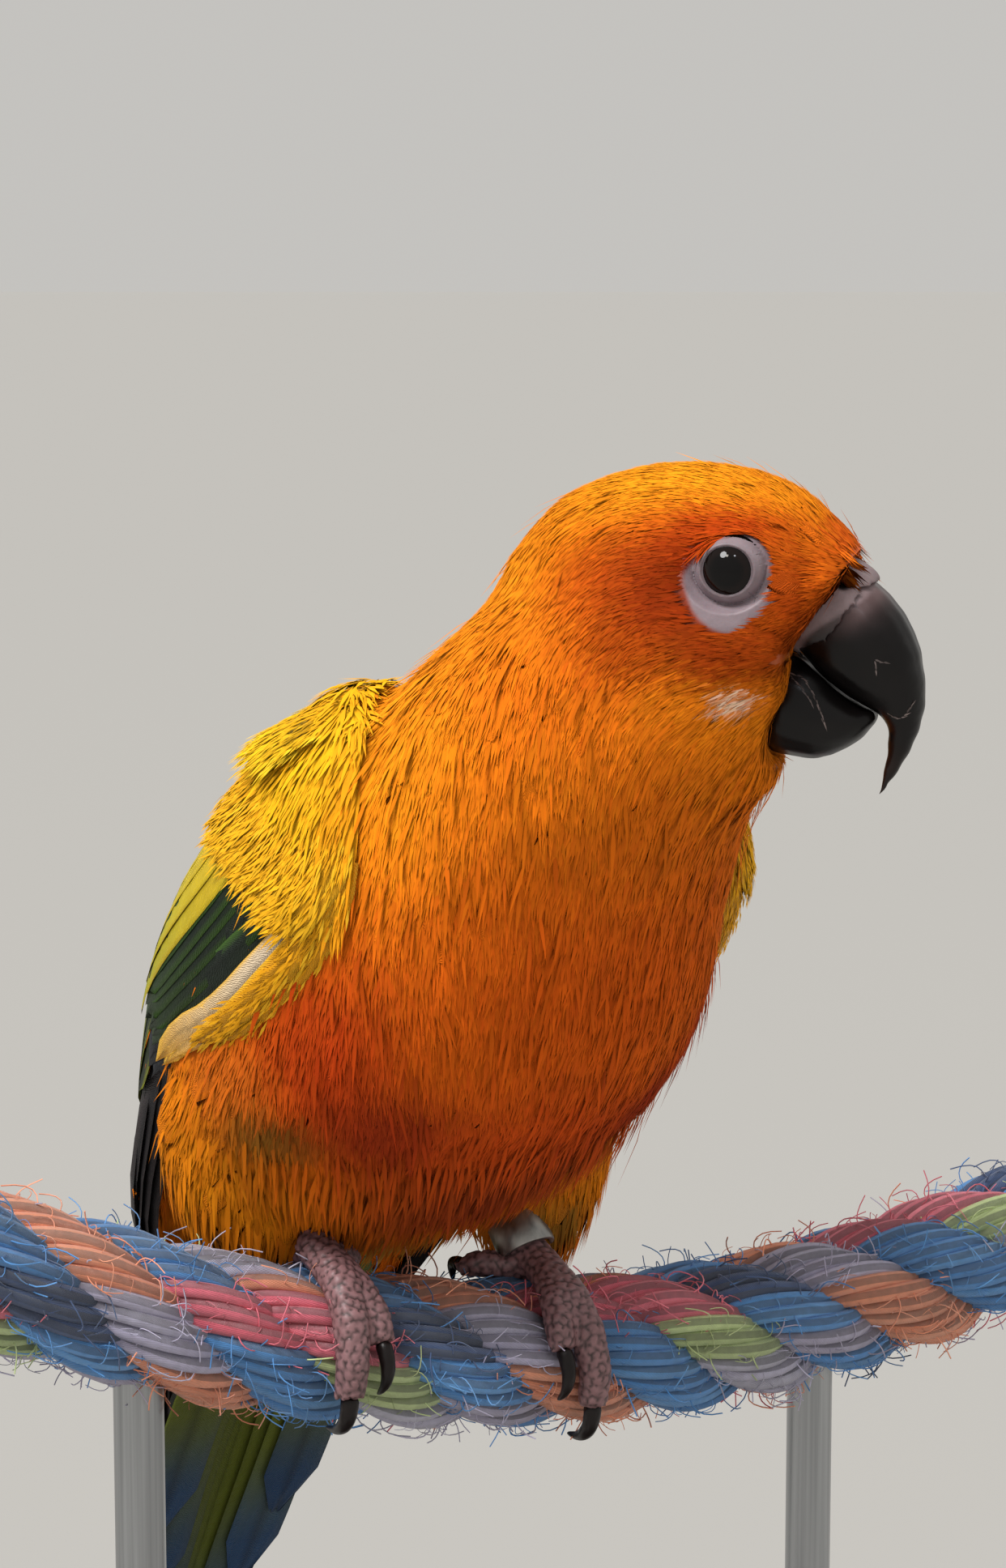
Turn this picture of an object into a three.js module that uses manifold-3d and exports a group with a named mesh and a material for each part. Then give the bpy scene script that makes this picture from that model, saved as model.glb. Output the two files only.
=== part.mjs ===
// A sun conure standing on a short length of coloured cotton rope, held by a plain display stand.
// Millimetres, +Z up. The bird faces -Y, its left side is +X, and the rope runs along X.
// The origin is the centre of the underside of the stand's base.

import * as THREE from "three";
import { mergeVertices } from "three/addons/utils/BufferGeometryUtils.js";
import Module from "manifold-3d";

// Driving sizes

const PERCH_HEIGHT = 112;
const BIRD_SHIFT = -10;
const SKIN_GAP = 0.3;

const BASE_LENGTH = 160;
const BASE_DEPTH = 116;
const BASE_THICKNESS = 8;
const BASE_CORNER = 14;
const BASE_EDGE = 1.5;
const ROD_RADIUS = 3;
const ROD_SPREAD = 50;
const ROD_DEPTH_IN_ROPE = 8;

const ROPE_RIGHT_END = -66;
const ROPE_LEFT_END = 97;
const ROPE_STRANDS = 4;
const ROPE_STRAND_RADIUS = 4.7;
const ROPE_STRAND_ORBIT = 4.9;
const ROPE_PITCH = 56;
const ROPE_SLOPE = -0.2;
const ROPE_BOW = 0.0022;
const ROPE_STEPS = 20;
const ROPE_SIDES = 6;

const EYE_RADIUS = 3.9;
const EYE_SIDE = 10.6;
const EYE_FORWARD = 0.1;
const EYE_UP = 0.6;
const HEAD_TURN = 43;
const HEAD_POINT = new THREE.Vector3(14, -46, 99.9);
const NOSTRIL_RADIUS = 0.8;
const MERGE_LIMIT = 0.1;

const BAND_INNER = 3;
const BAND_OUTER = 3.7;
const BAND_HEIGHT = 4.4;

const FOOT_SPREAD = 16;
const TOE_RADIUS = 2.3;
const TARSUS_RADIUS = 2.4;
const CLAW_RADIUS = 1.35;

const wasm = await Module();
wasm.setup();

// Geometry and solids

function solidFrom(geometry) {
  const bare = geometry.clone();
  bare.deleteAttribute("normal");
  bare.deleteAttribute("uv");
  const merged = mergeVertices(bare, 1e-3);
  const mesh = new wasm.Mesh({
    numProp: 3,
    vertProperties: merged.attributes.position.array,
    triVerts: new Uint32Array(merged.index.array),
  });
  return new wasm.Manifold(mesh);
}

function geometryFrom(solid) {
  const mesh = solid.getMesh();
  const stride = mesh.numProp;
  const corners = new Float32Array(mesh.numVert * 3);
  for (let i = 0; i < mesh.numVert; i++) {
    corners.set(mesh.vertProperties.subarray(i * stride, i * stride + 3), i * 3);
  }
  const geometry = new THREE.BufferGeometry();
  geometry.setAttribute("position", new THREE.BufferAttribute(corners, 3));
  geometry.setIndex(new THREE.BufferAttribute(new Uint32Array(mesh.triVerts), 1));
  return geometry;
}

// A closed block between two rings of equal count, with a fan over each end.
function blockBetween(first, second) {
  const count = first.length;
  const positions = [];
  const index = [];
  for (const ring of [first, second]) {
    for (const point of ring) {
      positions.push(point.x, point.y, point.z);
    }
  }
  for (let k = 0; k < count; k++) {
    const next = (k + 1) % count;
    index.push(k, next, next + count);
    index.push(k, next + count, k + count);
  }
  [first, second].forEach((ring, end) => {
    const middle = new THREE.Vector3();
    ring.forEach((point) => middle.add(point));
    middle.divideScalar(count);
    const centre = positions.length / 3;
    positions.push(middle.x, middle.y, middle.z);
    for (let k = 0; k < count; k++) {
      const here = end * count + k;
      const next = end * count + ((k + 1) % count);
      if (end === 1) {
        index.push(centre, here, next);
      } else {
        index.push(centre, next, here);
      }
    }
  });
  const geometry = new THREE.BufferGeometry();
  geometry.setAttribute("position", new THREE.Float32BufferAttribute(positions, 3));
  geometry.setIndex(index);
  return solidFrom(geometry);
}

// A solid through a row of rings, joined block by block so that a tight bend stays sound.
function skinRings(rings) {
  const blocks = [];
  for (let r = 0; r + 1 < rings.length; r++) {
    blocks.push(blockBetween(rings[r], rings[r + 1]));
  }
  return wasm.Manifold.union(blocks);
}

// Smooth value between the entries of a list, for t from 0 to 1.
function smoothValue(list, t) {
  const place = t * (list.length - 1);
  const i = Math.min(Math.floor(place), list.length - 2);
  const u = place - i;
  const before = list[Math.max(i - 1, 0)];
  const after = list[Math.min(i + 2, list.length - 1)];
  const slopeStart = (list[i + 1] - before) / 2;
  const slopeEnd = (after - list[i]) / 2;
  const u2 = u * u;
  const u3 = u2 * u;
  const start = (2 * u3 - 3 * u2 + 1) * list[i] + (u3 - 2 * u2 + u) * slopeStart;
  return start + (3 * u2 - 2 * u3) * list[i + 1] + (u3 - u2) * slopeEnd;
}

// One ring round a centre. The side half is even, the other differs between up and down.
function ovalRing(centre, side, up, sizes, count) {
  const ring = [];
  for (let k = 0; k < count; k++) {
    const angle = (2 * Math.PI * k) / count;
    const c = Math.cos(angle);
    const s = Math.sin(angle);
    const power = 2 / sizes.power;
    const x = Math.sign(c) * Math.abs(c) ** power * sizes.side;
    const y = Math.sign(s) * Math.abs(s) ** power * (s > 0 ? sizes.up : sizes.down);
    ring.push(centre.clone().addScaledVector(side, x).addScaledVector(up, y));
  }
  return ring;
}

// A solid along a smooth path whose stations give the half sizes. The path runs along
// side x up, and "side" stays close to the given direction at every ring.
function stationLoft(stations, sideHint, steps, count, grow = 0) {
  const path = new THREE.CatmullRomCurve3(
    stations.map((s) => new THREE.Vector3(...s.at)),
    false,
    "centripetal",
  );
  const rings = [];
  for (let i = 0; i <= steps; i++) {
    const t = i / steps;
    const centre = path.getPoint(t);
    const along = path.getTangent(t);
    const hint = typeof sideHint === "function" ? sideHint(t) : sideHint;
    const up = along.clone().cross(hint).normalize();
    const side = up.clone().cross(along).normalize();
    const sizes = {
      side: smoothValue(stations.map((s) => s.side), t) + grow,
      up: smoothValue(stations.map((s) => s.up), t) + grow,
      down: smoothValue(stations.map((s) => s.down), t) + grow,
      power: smoothValue(stations.map((s) => s.power ?? 2), t),
    };
    rings.push(ovalRing(centre, side, up, sizes, count));
  }
  if (grow > 0) {
    const first = path.getTangent(0).multiplyScalar(-grow);
    const last = path.getTangent(1).multiplyScalar(grow);
    rings[0].forEach((p) => p.add(first));
    rings[steps].forEach((p) => p.add(last));
  }
  return skinRings(rings);
}

// A round tapering rod along a smooth path.
function taperedRod(points, radii, steps, count) {
  const path = new THREE.CatmullRomCurve3(points, false, "centripetal");
  const frames = path.computeFrenetFrames(steps, false);
  const rings = [];
  for (let i = 0; i <= steps; i++) {
    const t = i / steps;
    const radius = smoothValue(radii, t);
    const sizes = { side: radius, up: radius, down: radius, power: 2 };
    rings.push(
      ovalRing(path.getPointAt(t), frames.normals[i], frames.binormals[i], sizes, count),
    );
  }
  return skinRings(rings);
}

function boxSolid(width, depth, height, centre) {
  const box = new THREE.BoxGeometry(width, depth, height);
  box.translate(centre.x, centre.y, centre.z);
  return solidFrom(box);
}

// The main body of a cut solid, with needle-thin triangles merged away.
function largestPiece(solid) {
  const largest = (pieces) =>
    pieces.reduce((best, piece) => (piece.volume() > best.volume() ? piece : best));
  return largest(largest(solid.decompose()).simplify(MERGE_LIMIT).decompose());
}

// A large block whose one face lies through the point, square to the direction.
function halfSpace(point, direction) {
  const size = 300;
  const box = new THREE.BoxGeometry(size, size, size);
  box.translate(0, 0, size / 2);
  const up = new THREE.Vector3(0, 0, 1);
  box.applyQuaternion(new THREE.Quaternion().setFromUnitVectors(up, direction));
  box.translate(point.x, point.y, point.z);
  return solidFrom(box);
}

// Trunk and neck

const trunkStations = [
  { at: [0, 36, 9], side: 5, up: 4, down: 4 },
  { at: [0, 27, 15], side: 16, up: 9, down: 8 },
  { at: [0, 14, 25], side: 28, up: 15, down: 14 },
  { at: [0, 1, 38], side: 32, up: 20, down: 21, power: 2.1 },
  { at: [0, -11, 51], side: 30.5, up: 21, down: 24, power: 2.15 },
  { at: [0, -21, 65], side: 26.3, up: 20, down: 22, power: 2.15 },
  { at: [2, -29, 78], side: 24, up: 17.5, down: 20, power: 2.1 },
  { at: [5.5, -34.5, 88.5], side: 20, up: 15.5, down: 20.5 },
  { at: [9, -39, 96], side: 16.5, up: 13, down: 19.5 },
  { at: [12, -42, 102], side: 11, up: 9, down: 14 },
];

const trunkSide = (t) => {
  const turn = THREE.MathUtils.degToRad(HEAD_TURN) * Math.max(0, (t - 0.6) / 0.4);
  return new THREE.Vector3(Math.cos(turn), Math.sin(turn), 0);
};

function trunkSolid(grow) {
  return stationLoft(trunkStations, trunkSide, 16, 22, grow);
}

// Head, in its own frame: x to the head's left, y backwards, z up, the origin between the eyes.

const headFrame = new THREE.Matrix4()
  .makeRotationZ(THREE.MathUtils.degToRad(HEAD_TURN))
  .setPosition(HEAD_POINT);

const inHead = (side, forward, up) =>
  new THREE.Vector3(side, -forward, up).applyMatrix4(headFrame);

const headStations = [
  { at: [0, -28, -5], side: 5, up: 5, down: 5 },
  { at: [0, -22.5, -5], side: 11.5, up: 11, down: 12 },
  { at: [0, -14, -5], side: 14.6, up: 14.8, down: 16 },
  { at: [0, -6, -5.5], side: 15.2, up: 16.2, down: 17.5 },
  { at: [0, 0.5, -7], side: 14.4, up: 15, down: 17.1 },
  { at: [0, 7, -9.5], side: 12, up: 9.3, down: 13.4 },
  { at: [0, 10, -12], side: 9.4, up: 6.6, down: 10.4 },
  { at: [0, 11.5, -13.4], side: 6, up: 5, down: 6 },
];

// The chin's feathers stand forward under the lower bill.
function chinSolid(grow) {
  const puff = new THREE.SphereGeometry(1, 12, 8);
  puff.scale(9 + grow, 7.6 + grow, 6.2 + grow);
  puff.applyMatrix4(new THREE.Matrix4().makeTranslation(0, 3, -21.5).premultiply(headFrame));
  return solidFrom(puff);
}

function headSolid(grow) {
  const placed = headStations.map((s) => ({
    ...s,
    at: inHead(s.at[0], s.at[1], s.at[2]).toArray(),
  }));
  const side = new THREE.Vector3(-1, 0, 0).transformDirection(headFrame);
  return stationLoft(placed, side, 12, 20, grow);
}

// A nostril, sunk into the top of the swollen skin over the bill.
function nostril(sideSign) {
  const hole = new THREE.SphereGeometry(NOSTRIL_RADIUS, 6, 4);
  const centre = inHead(sideSign * 4.7, 11.3, -1.2);
  hole.translate(centre.x, centre.y, centre.z);
  return solidFrom(hole);
}

function eyeBall(sideSign, radius) {
  const ball = new THREE.SphereGeometry(radius, 12, 8);
  const centre = inHead(sideSign * EYE_SIDE, EYE_FORWARD, EYE_UP);
  ball.translate(centre.x, centre.y, centre.z);
  return solidFrom(ball);
}

// Bill: the culmen bows forward and down to a long thin hook.

const upperBillStations = [
  { at: [0, 6.6, -2.9], side: 4.2, up: 4.3, down: 4.4 },
  { at: [0, 9.2, -4.9], side: 5.2, up: 5.3, down: 5.8, power: 2.2 },
  { at: [0, 12.6, -7.8], side: 5.8, up: 5.8, down: 5.8, power: 2.4 },
  { at: [0, 15.4, -11.4], side: 4.9, up: 4.8, down: 4.8, power: 2.3 },
  { at: [0, 17.3, -14.8], side: 3.4, up: 3, down: 3 },
  { at: [0, 17.7, -17.5], side: 2.1, up: 1.85, down: 1.8 },
  { at: [0, 17.1, -20.4], side: 1.35, up: 1.15, down: 1.1 },
  { at: [0, 16.2, -22.8], side: 0.8, up: 0.65, down: 0.6 },
  { at: [0, 15.1, -25.3], side: 0.3, up: 0.25, down: 0.25 },
];

function upperBill(grow) {
  const placed = upperBillStations.map((s) => ({
    ...s,
    at: inHead(s.at[0], s.at[1], s.at[2]).toArray(),
  }));
  const side = new THREE.Vector3(-1, 0, 0).transformDirection(headFrame);
  return stationLoft(placed, side, 18, 14, grow);
}

const lowerBillStations = [
  { at: [0, 2, -14.6], side: 5, up: 5, down: 5 },
  { at: [0, 5, -15.2], side: 6, up: 5.8, down: 5.7, power: 2.2 },
  { at: [0, 8.8, -16.7], side: 5.4, up: 4.8, down: 4.7, power: 2.2 },
  { at: [0, 12.1, -16.9], side: 4, up: 2.6, down: 2.7 },
  { at: [0, 14.6, -16.1], side: 2, up: 0.7, down: 0.8 },
];

function lowerBill(grow) {
  const placed = lowerBillStations.map((s) => ({
    ...s,
    at: inHead(s.at[0], s.at[1], s.at[2]).toArray(),
  }));
  const side = new THREE.Vector3(-1, 0, 0).transformDirection(headFrame);
  return stationLoft(placed, side, 10, 14, grow);
}

const cereStations = [
  { at: [0, 7, -3.2], side: 6.3, up: 5.8, down: 6.3 },
  { at: [0, 9.2, -4.9], side: 6.6, up: 6, down: 7 },
  { at: [0, 10.9, -6.2], side: 6.2, up: 5.6, down: 6.7 },
];

function cereSolid(grow) {
  const placed = cereStations.map((s) => ({
    ...s,
    at: inHead(s.at[0], s.at[1], s.at[2]).toArray(),
  }));
  const side = new THREE.Vector3(-1, 0, 0).transformDirection(headFrame);
  return stationLoft(placed, side, 3, 12, grow);
}

// Wings: folded, each a curved shell that wraps the flank from the shoulder and runs on over
// the tail. Each station is an oval round the body's axis: the wing covers it from one angle to
// another, and "core" is the share of the oval that stays clear inside.

const wingStations = [
  { at: [0, -26, 80], side: 24.5, up: 20, from: 5, to: 48, core: 0.8 },
  { at: [0, -19, 68], side: 32.5, up: 26, from: -24, to: 58, core: 0.72 },
  { at: [0, -9, 54], side: 36, up: 27.5, from: -20, to: 68, core: 0.72 },
  { at: [0, 3, 40], side: 35.5, up: 26, from: -5, to: 76, core: 0.72 },
  { at: [0, 15, 26], side: 32.5, up: 22, from: 8, to: 82, core: 0.72 },
  { at: [0, 27, 11], side: 28, up: 16, from: 10, to: 84, core: 0.78 },
  { at: [0, 38, -6], side: 19, up: 11, from: 12, to: 84, core: 0.8 },
  { at: [0, 49, -23], side: 13, up: 7.5, from: 14, to: 82, core: 0.76 },
  { at: [0, 60, -42], side: 8.5, up: 5, from: 30, to: 70, core: 0.76 },
];
const WING_STEPS = 13;
const WING_ARC_POINTS = 8;
const WING_EDGE_POWER = 0.42;
const OVAL_POWER = 0.87;

// The left wing stands a little further off the flank than the right one.
const wingOpening = { [-1]: 0, [1]: 4.5 };

function wingSolid(sideSign) {
  const path = new THREE.CatmullRomCurve3(
    wingStations.map((s) => new THREE.Vector3(...s.at)),
    false,
    "centripetal",
  );
  const outward = new THREE.Vector3(sideSign, 0, 0);
  const valueAt = (key, t) => smoothValue(wingStations.map((s) => s[key]), t);
  const rings = [];
  for (let i = 0; i <= WING_STEPS; i++) {
    const t = i / WING_STEPS;
    const along = path.getTangent(t);
    const up = along.clone().cross(new THREE.Vector3(-1, 0, 0)).normalize();
    const centre = path.getPoint(t);
    centre.addScaledVector(outward, wingOpening[sideSign] * Math.sin(Math.PI * t));
    const start = THREE.MathUtils.degToRad(valueAt("from", t));
    const end = THREE.MathUtils.degToRad(valueAt("to", t));
    const core = valueAt("core", t);
    const outer = [];
    const inner = [];
    for (let k = 0; k < WING_ARC_POINTS; k++) {
      const u = k / (WING_ARC_POINTS - 1);
      const angle = start + (end - start) * u;
      const across = Math.abs(Math.cos(angle)) ** OVAL_POWER * valueAt("side", t);
      const rise = Math.sign(angle) * Math.abs(Math.sin(angle)) ** OVAL_POWER * valueAt("up", t);
      const swell = Math.sin(Math.PI * (0.04 + 0.92 * u)) ** WING_EDGE_POWER;
      const spot = (share) =>
        centre.clone().addScaledVector(outward, across * share).addScaledVector(up, rise * share);
      outer.push(spot(core + (1 - core) * swell));
      inner.push(spot(core * 0.98));
    }
    const ring = outer.concat(inner.reverse());
    rings.push(sideSign < 0 ? ring : ring.reverse());
  }
  return skinRings(rings);
}

// Tail: long, folded and stepped to a narrow tip.

const tailStations = [
  { at: [0, 24, 17], side: 8, up: 4.5, down: 4.5 },
  { at: [0, 36, -3], side: 10.5, up: 3.4, down: 3.4 },
  { at: [0, 51, -28], side: 11, up: 2.4, down: 2.4 },
  { at: [0, 66, -54], side: 9.5, up: 1.8, down: 1.8 },
  { at: [0, 80, -79], side: 6.4, up: 1.4, down: 1.4 },
  { at: [0, 90, -98], side: 2.4, up: 0.9, down: 0.9 },
];

function tailSolid(grow) {
  return stationLoft(tailStations, new THREE.Vector3(-1, 0, 0), 9, 14, grow);
}

// Legs

const legLean = (sideSign) => ropeCentre(sideSign * FOOT_SPREAD).z;

const thighStations = [
  { at: [-20.5, 7, 39], side: 9.5, up: 9.5, down: 9.5 },
  { at: [-21.5, 8.5, 29], side: 11, up: 11, down: 11 },
  { at: [-20.5, 8, 20], side: 9.8, up: 9.8, down: 9.8 },
  { at: [-18.5, 6, 14], side: 6.8, up: 6.8, down: 6.8 },
  { at: [-17, 4.6, 10.6], side: 3.6, up: 3.6, down: 3.6 },
];

function thighSolid(sideSign, grow) {
  const placed = thighStations.map((s) => ({
    ...s,
    at: [-sideSign * s.at[0], s.at[1], s.at[2] + legLean(sideSign)],
  }));
  return stationLoft(placed, new THREE.Vector3(1, 0, 0), 7, 14, grow);
}

// A point beside the rope, at an angle round it from straight up towards the bird's front.
function roundRope(along, degrees, lift) {
  const angle = THREE.MathUtils.degToRad(degrees);
  const reach = ROPE_STRAND_ORBIT + ROPE_STRAND_RADIUS + lift;
  const centre = ropeCentre(along);
  return new THREE.Vector3(
    along,
    centre.y - Math.sin(angle) * reach,
    centre.z + Math.cos(angle) * reach,
  );
}

const toePlans = [
  { name: "toe_outer_front", out: 1.5, from: 8, to: 112, tip: 150, size: 1 },
  { name: "toe_inner_front", out: -3, from: 8, to: 76, tip: 110, size: 0.9 },
  { name: "toe_outer_back", out: 7, from: -14, to: -88, tip: -122, size: 0.9 },
  { name: "toe_inner_back", out: -8, from: -4, to: -26, tip: -40, size: 0.8 },
];

function toePath(sideSign, plan) {
  const lift = TOE_RADIUS * plan.size * 0.86;
  const start = sideSign * FOOT_SPREAD;
  const points = [];
  const count = 4;
  for (let i = 0; i <= count; i++) {
    const t = i / count;
    const along = start + sideSign * plan.out * Math.min(1, t * 1.25);
    points.push(roundRope(along, plan.from + (plan.to - plan.from) * t, lift));
  }
  return points;
}

// The path starts a little inside the toe, or further back where room for the claw is wanted.
function clawPath(sideSign, plan, grow) {
  const lift = TOE_RADIUS * plan.size * 0.86;
  const along = sideSign * (FOOT_SPREAD + plan.out);
  const span = plan.tip - plan.to;
  return [
    roundRope(along, plan.to - span * 0.06 - Math.sign(span) * grow * 4, lift),
    roundRope(along, plan.to + span * 0.3, lift + 0.9),
    roundRope(along, plan.to + span * 0.68, lift + 0.5),
    roundRope(along, plan.tip, lift - 0.9),
  ];
}

function ankle(sideSign) {
  return new THREE.Vector3(sideSign * 15.6, 4.8, 17 + legLean(sideSign));
}

function sole(sideSign) {
  return roundRope(sideSign * FOOT_SPREAD, -4, 2.4);
}

function footSolid(sideSign) {
  const top = ankle(sideSign);
  const low = sole(sideSign);
  const shank = [top, top.clone().lerp(low, 0.5), low];
  const radii = [TARSUS_RADIUS, TARSUS_RADIUS * 0.96, TARSUS_RADIUS * 1.1];
  let foot = taperedRod(shank, radii, 3, 8);
  for (const plan of toePlans) {
    const radius = TOE_RADIUS * plan.size;
    const points = [low.clone().lerp(top, 0.15), ...toePath(sideSign, plan)];
    foot = foot.add(taperedRod(points, [radius * 1.1, radius, radius * 0.95, radius * 0.8], 5, 6));
  }
  return foot;
}

function clawSolid(sideSign, plan, grow) {
  const radius = CLAW_RADIUS * plan.size;
  const radii = [radius + grow, radius * 0.92 + grow, radius * 0.66 + grow, 0.28 + grow];
  return taperedRod(clawPath(sideSign, plan, grow), radii, 5, 6);
}

// Perch: four laid strands of cotton, in a gentle bow that slopes down to the bird's left.

function ropeCentre(along) {
  return new THREE.Vector3(along, 0, ROPE_SLOPE * along + ROPE_BOW * along * along);
}

function ropeSolid(grow) {
  const strands = [];
  for (let strand = 0; strand < ROPE_STRANDS; strand++) {
    const rings = [];
    for (let i = 0; i <= ROPE_STEPS; i++) {
      const along = ROPE_RIGHT_END + ((ROPE_LEFT_END - ROPE_RIGHT_END) * i) / ROPE_STEPS;
      const turn = 2 * Math.PI * (along / ROPE_PITCH + strand / ROPE_STRANDS);
      const centre = ropeCentre(along);
      centre.y += Math.cos(turn) * ROPE_STRAND_ORBIT;
      centre.z += Math.sin(turn) * ROPE_STRAND_ORBIT;
      const side = new THREE.Vector3(0, 1, 0);
      const up = new THREE.Vector3(0, 0, 1);
      const radius = ROPE_STRAND_RADIUS + grow;
      const sizes = { side: radius, up: radius, down: radius, power: 2 };
      rings.push(ovalRing(centre, side, up, sizes, ROPE_SIDES));
    }
    strands.push(skinRings(rings));
  }
  return wasm.Manifold.union(strands);
}

// Stand

function roundedOutline(x, y, r) {
  const outline = new THREE.Shape();
  outline.moveTo(-x + r, -y);
  outline.absarc(x - r, -y + r, r, -Math.PI / 2, 0);
  outline.absarc(x - r, y - r, r, 0, Math.PI / 2);
  outline.absarc(-x + r, y - r, r, Math.PI / 2, Math.PI);
  outline.absarc(-x + r, -y + r, r, Math.PI, Math.PI * 1.5);
  return outline;
}

function baseSolid() {
  const outline = roundedOutline(BASE_LENGTH / 2, BASE_DEPTH / 2, BASE_CORNER);
  const plate = new THREE.ExtrudeGeometry(outline, {
    depth: BASE_THICKNESS - BASE_EDGE,
    bevelEnabled: true,
    bevelThickness: BASE_EDGE,
    bevelSize: BASE_EDGE,
    bevelOffset: -BASE_EDGE,
    bevelSegments: 1,
    curveSegments: 5,
  });
  // Only the upper edge is bevelled: the underside is cut flat.
  return solidFrom(plate).subtract(boxSolid(400, 400, 20, new THREE.Vector3(0, 0, -10)));
}

function rodSolid(sideSign, grow) {
  const along = sideSign * ROD_SPREAD;
  const under = ropeCentre(along - BIRD_SHIFT).z - ROPE_STRAND_ORBIT - ROPE_STRAND_RADIUS;
  const foot = BASE_THICKNESS + SKIN_GAP;
  const top = PERCH_HEIGHT + under + ROD_DEPTH_IN_ROPE + grow;
  const radius = ROD_RADIUS + grow;
  const rod = new THREE.CylinderGeometry(radius, radius, top - foot, 16);
  rod.rotateX(Math.PI / 2);
  rod.translate(along, 0, (top + foot) / 2);
  return solidFrom(rod);
}

function bandSolid(grow) {
  const top = ankle(1);
  const low = sole(1);
  const axis = top.clone().sub(low).normalize();
  const outline = new THREE.Shape();
  outline.absarc(0, 0, BAND_OUTER + grow, 0, Math.PI * 2);
  const hole = new THREE.Path();
  hole.absarc(0, 0, BAND_INNER - grow, 0, Math.PI * 2);
  outline.holes.push(hole);
  const ring = new THREE.ExtrudeGeometry(outline, {
    depth: BAND_HEIGHT + 2 * grow,
    bevelEnabled: false,
    curveSegments: 10,
  });
  ring.translate(0, 0, -BAND_HEIGHT / 2 - grow);
  ring.applyQuaternion(new THREE.Quaternion().setFromUnitVectors(new THREE.Vector3(0, 0, 1), axis));
  const middle = low.clone().addScaledVector(axis, 3.2);
  ring.translate(middle.x, middle.y, middle.z);
  return solidFrom(ring);
}

// Assembly of the solids

const bird = new THREE.Group();
bird.position.set(BIRD_SHIFT, 0, PERCH_HEIGHT);
const stand = new THREE.Group();
const root = new THREE.Group();
root.add(bird);
root.add(stand);

function addMesh(group, name, solid, look) {
  const material = new THREE.MeshStandardMaterial({
    color: look.color,
    roughness: look.roughness,
    metalness: look.metalness ?? 0,
  });
  const mesh = new THREE.Mesh(geometryFrom(solid), material);
  mesh.name = name;
  group.add(mesh);
}

const looks = {
  crown: { color: "#f29a1e", roughness: 0.85 },
  breast: { color: "#e8781a", roughness: 0.85 },
  wing: { color: "#f0b420", roughness: 0.8 },
  tail: { color: "#4a5a2c", roughness: 0.7 },
  thigh: { color: "#d98a24", roughness: 0.85 },
  leg: { color: "#6f5a5c", roughness: 0.7 },
  claw: { color: "#1b1918", roughness: 0.35 },
  bill: { color: "#1d1c1f", roughness: 0.3 },
  cere: { color: "#a9a3a8", roughness: 0.6 },
  eye: { color: "#14100e", roughness: 0.08 },
  band: { color: "#9a9a98", roughness: 0.35, metalness: 0.9 },
  rope: { color: "#8f8fb0", roughness: 0.95 },
  rod: { color: "#9b9da0", roughness: 0.35, metalness: 1 },
  base: { color: "#3c3a38", roughness: 0.55 },
};

const g = SKIN_GAP;
const rope = ropeSolid(0);
const ropeClear = ropeSolid(g);

const flesh = trunkSolid(0).add(headSolid(0)).add(chinSolid(0));
const fleshClear = trunkSolid(g).add(headSolid(g)).add(chinSolid(g));

const neckCut = {
  point: inHead(0, -13, -11.5),
  direction: inHead(0, 0.61, 0.79).sub(inHead(0, 0, 0)).normalize(),
};
const trunkCut = {
  point: new THREE.Vector3(1, -24, 72),
  direction: new THREE.Vector3(0.05, -0.5, 0.86).normalize(),
};
// The face stops at the bill: behind one slanted plane above the gape and a steep one below it.
const faceCut = {
  point: inHead(0, 8, -5.8),
  direction: inHead(0, 0.82, -0.57).sub(inHead(0, 0, 0)).normalize(),
};
const chinCut = {
  point: inHead(0, 5.6, -17),
  direction: inHead(0, 1, -0.07).sub(inHead(0, 0, 0)).normalize(),
};
const ahead = (cut, lift) =>
  halfSpace(cut.point.clone().addScaledVector(cut.direction, lift), cut.direction);

const eyeRight = eyeBall(-1, EYE_RADIUS);
const eyeLeft = eyeBall(1, EYE_RADIUS);
const billUpper = upperBill(0);
const cere = cereSolid(0).subtract(upperBill(g)).subtract(nostril(-1)).subtract(nostril(1));
const billLower = lowerBill(0).subtract(upperBill(g)).subtract(cereSolid(g));

let headAll = flesh.intersect(ahead(neckCut, g));
headAll = headAll.subtract(eyeBall(-1, EYE_RADIUS + g)).subtract(eyeBall(1, EYE_RADIUS + g));
headAll = headAll.subtract(ahead(faceCut, 0).intersect(ahead(chinCut, 0)));
headAll = headAll.subtract(upperBill(g)).subtract(lowerBill(g)).subtract(cereSolid(g));
headAll = largestPiece(headAll);

const belowHead = flesh.subtract(ahead(neckCut, 0));
const neck = belowHead.intersect(ahead(trunkCut, g));
const body = belowHead.subtract(ahead(trunkCut, 0));

const thighs = {};
for (const sign of [-1, 1]) {
  thighs[sign] = largestPiece(thighSolid(sign, 0).subtract(fleshClear).subtract(bandSolid(g)));
}
const trunk = largestPiece(body);

const tail = largestPiece(tailSolid(0).subtract(fleshClear).subtract(ropeClear));
const wings = {};
for (const sign of [-1, 1]) {
  const wing = wingSolid(sign)
    .subtract(fleshClear)
    .subtract(thighSolid(sign, g))
    .subtract(tailSolid(g))
    .subtract(ropeClear);
  wings[sign] = largestPiece(wing);
}

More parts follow.
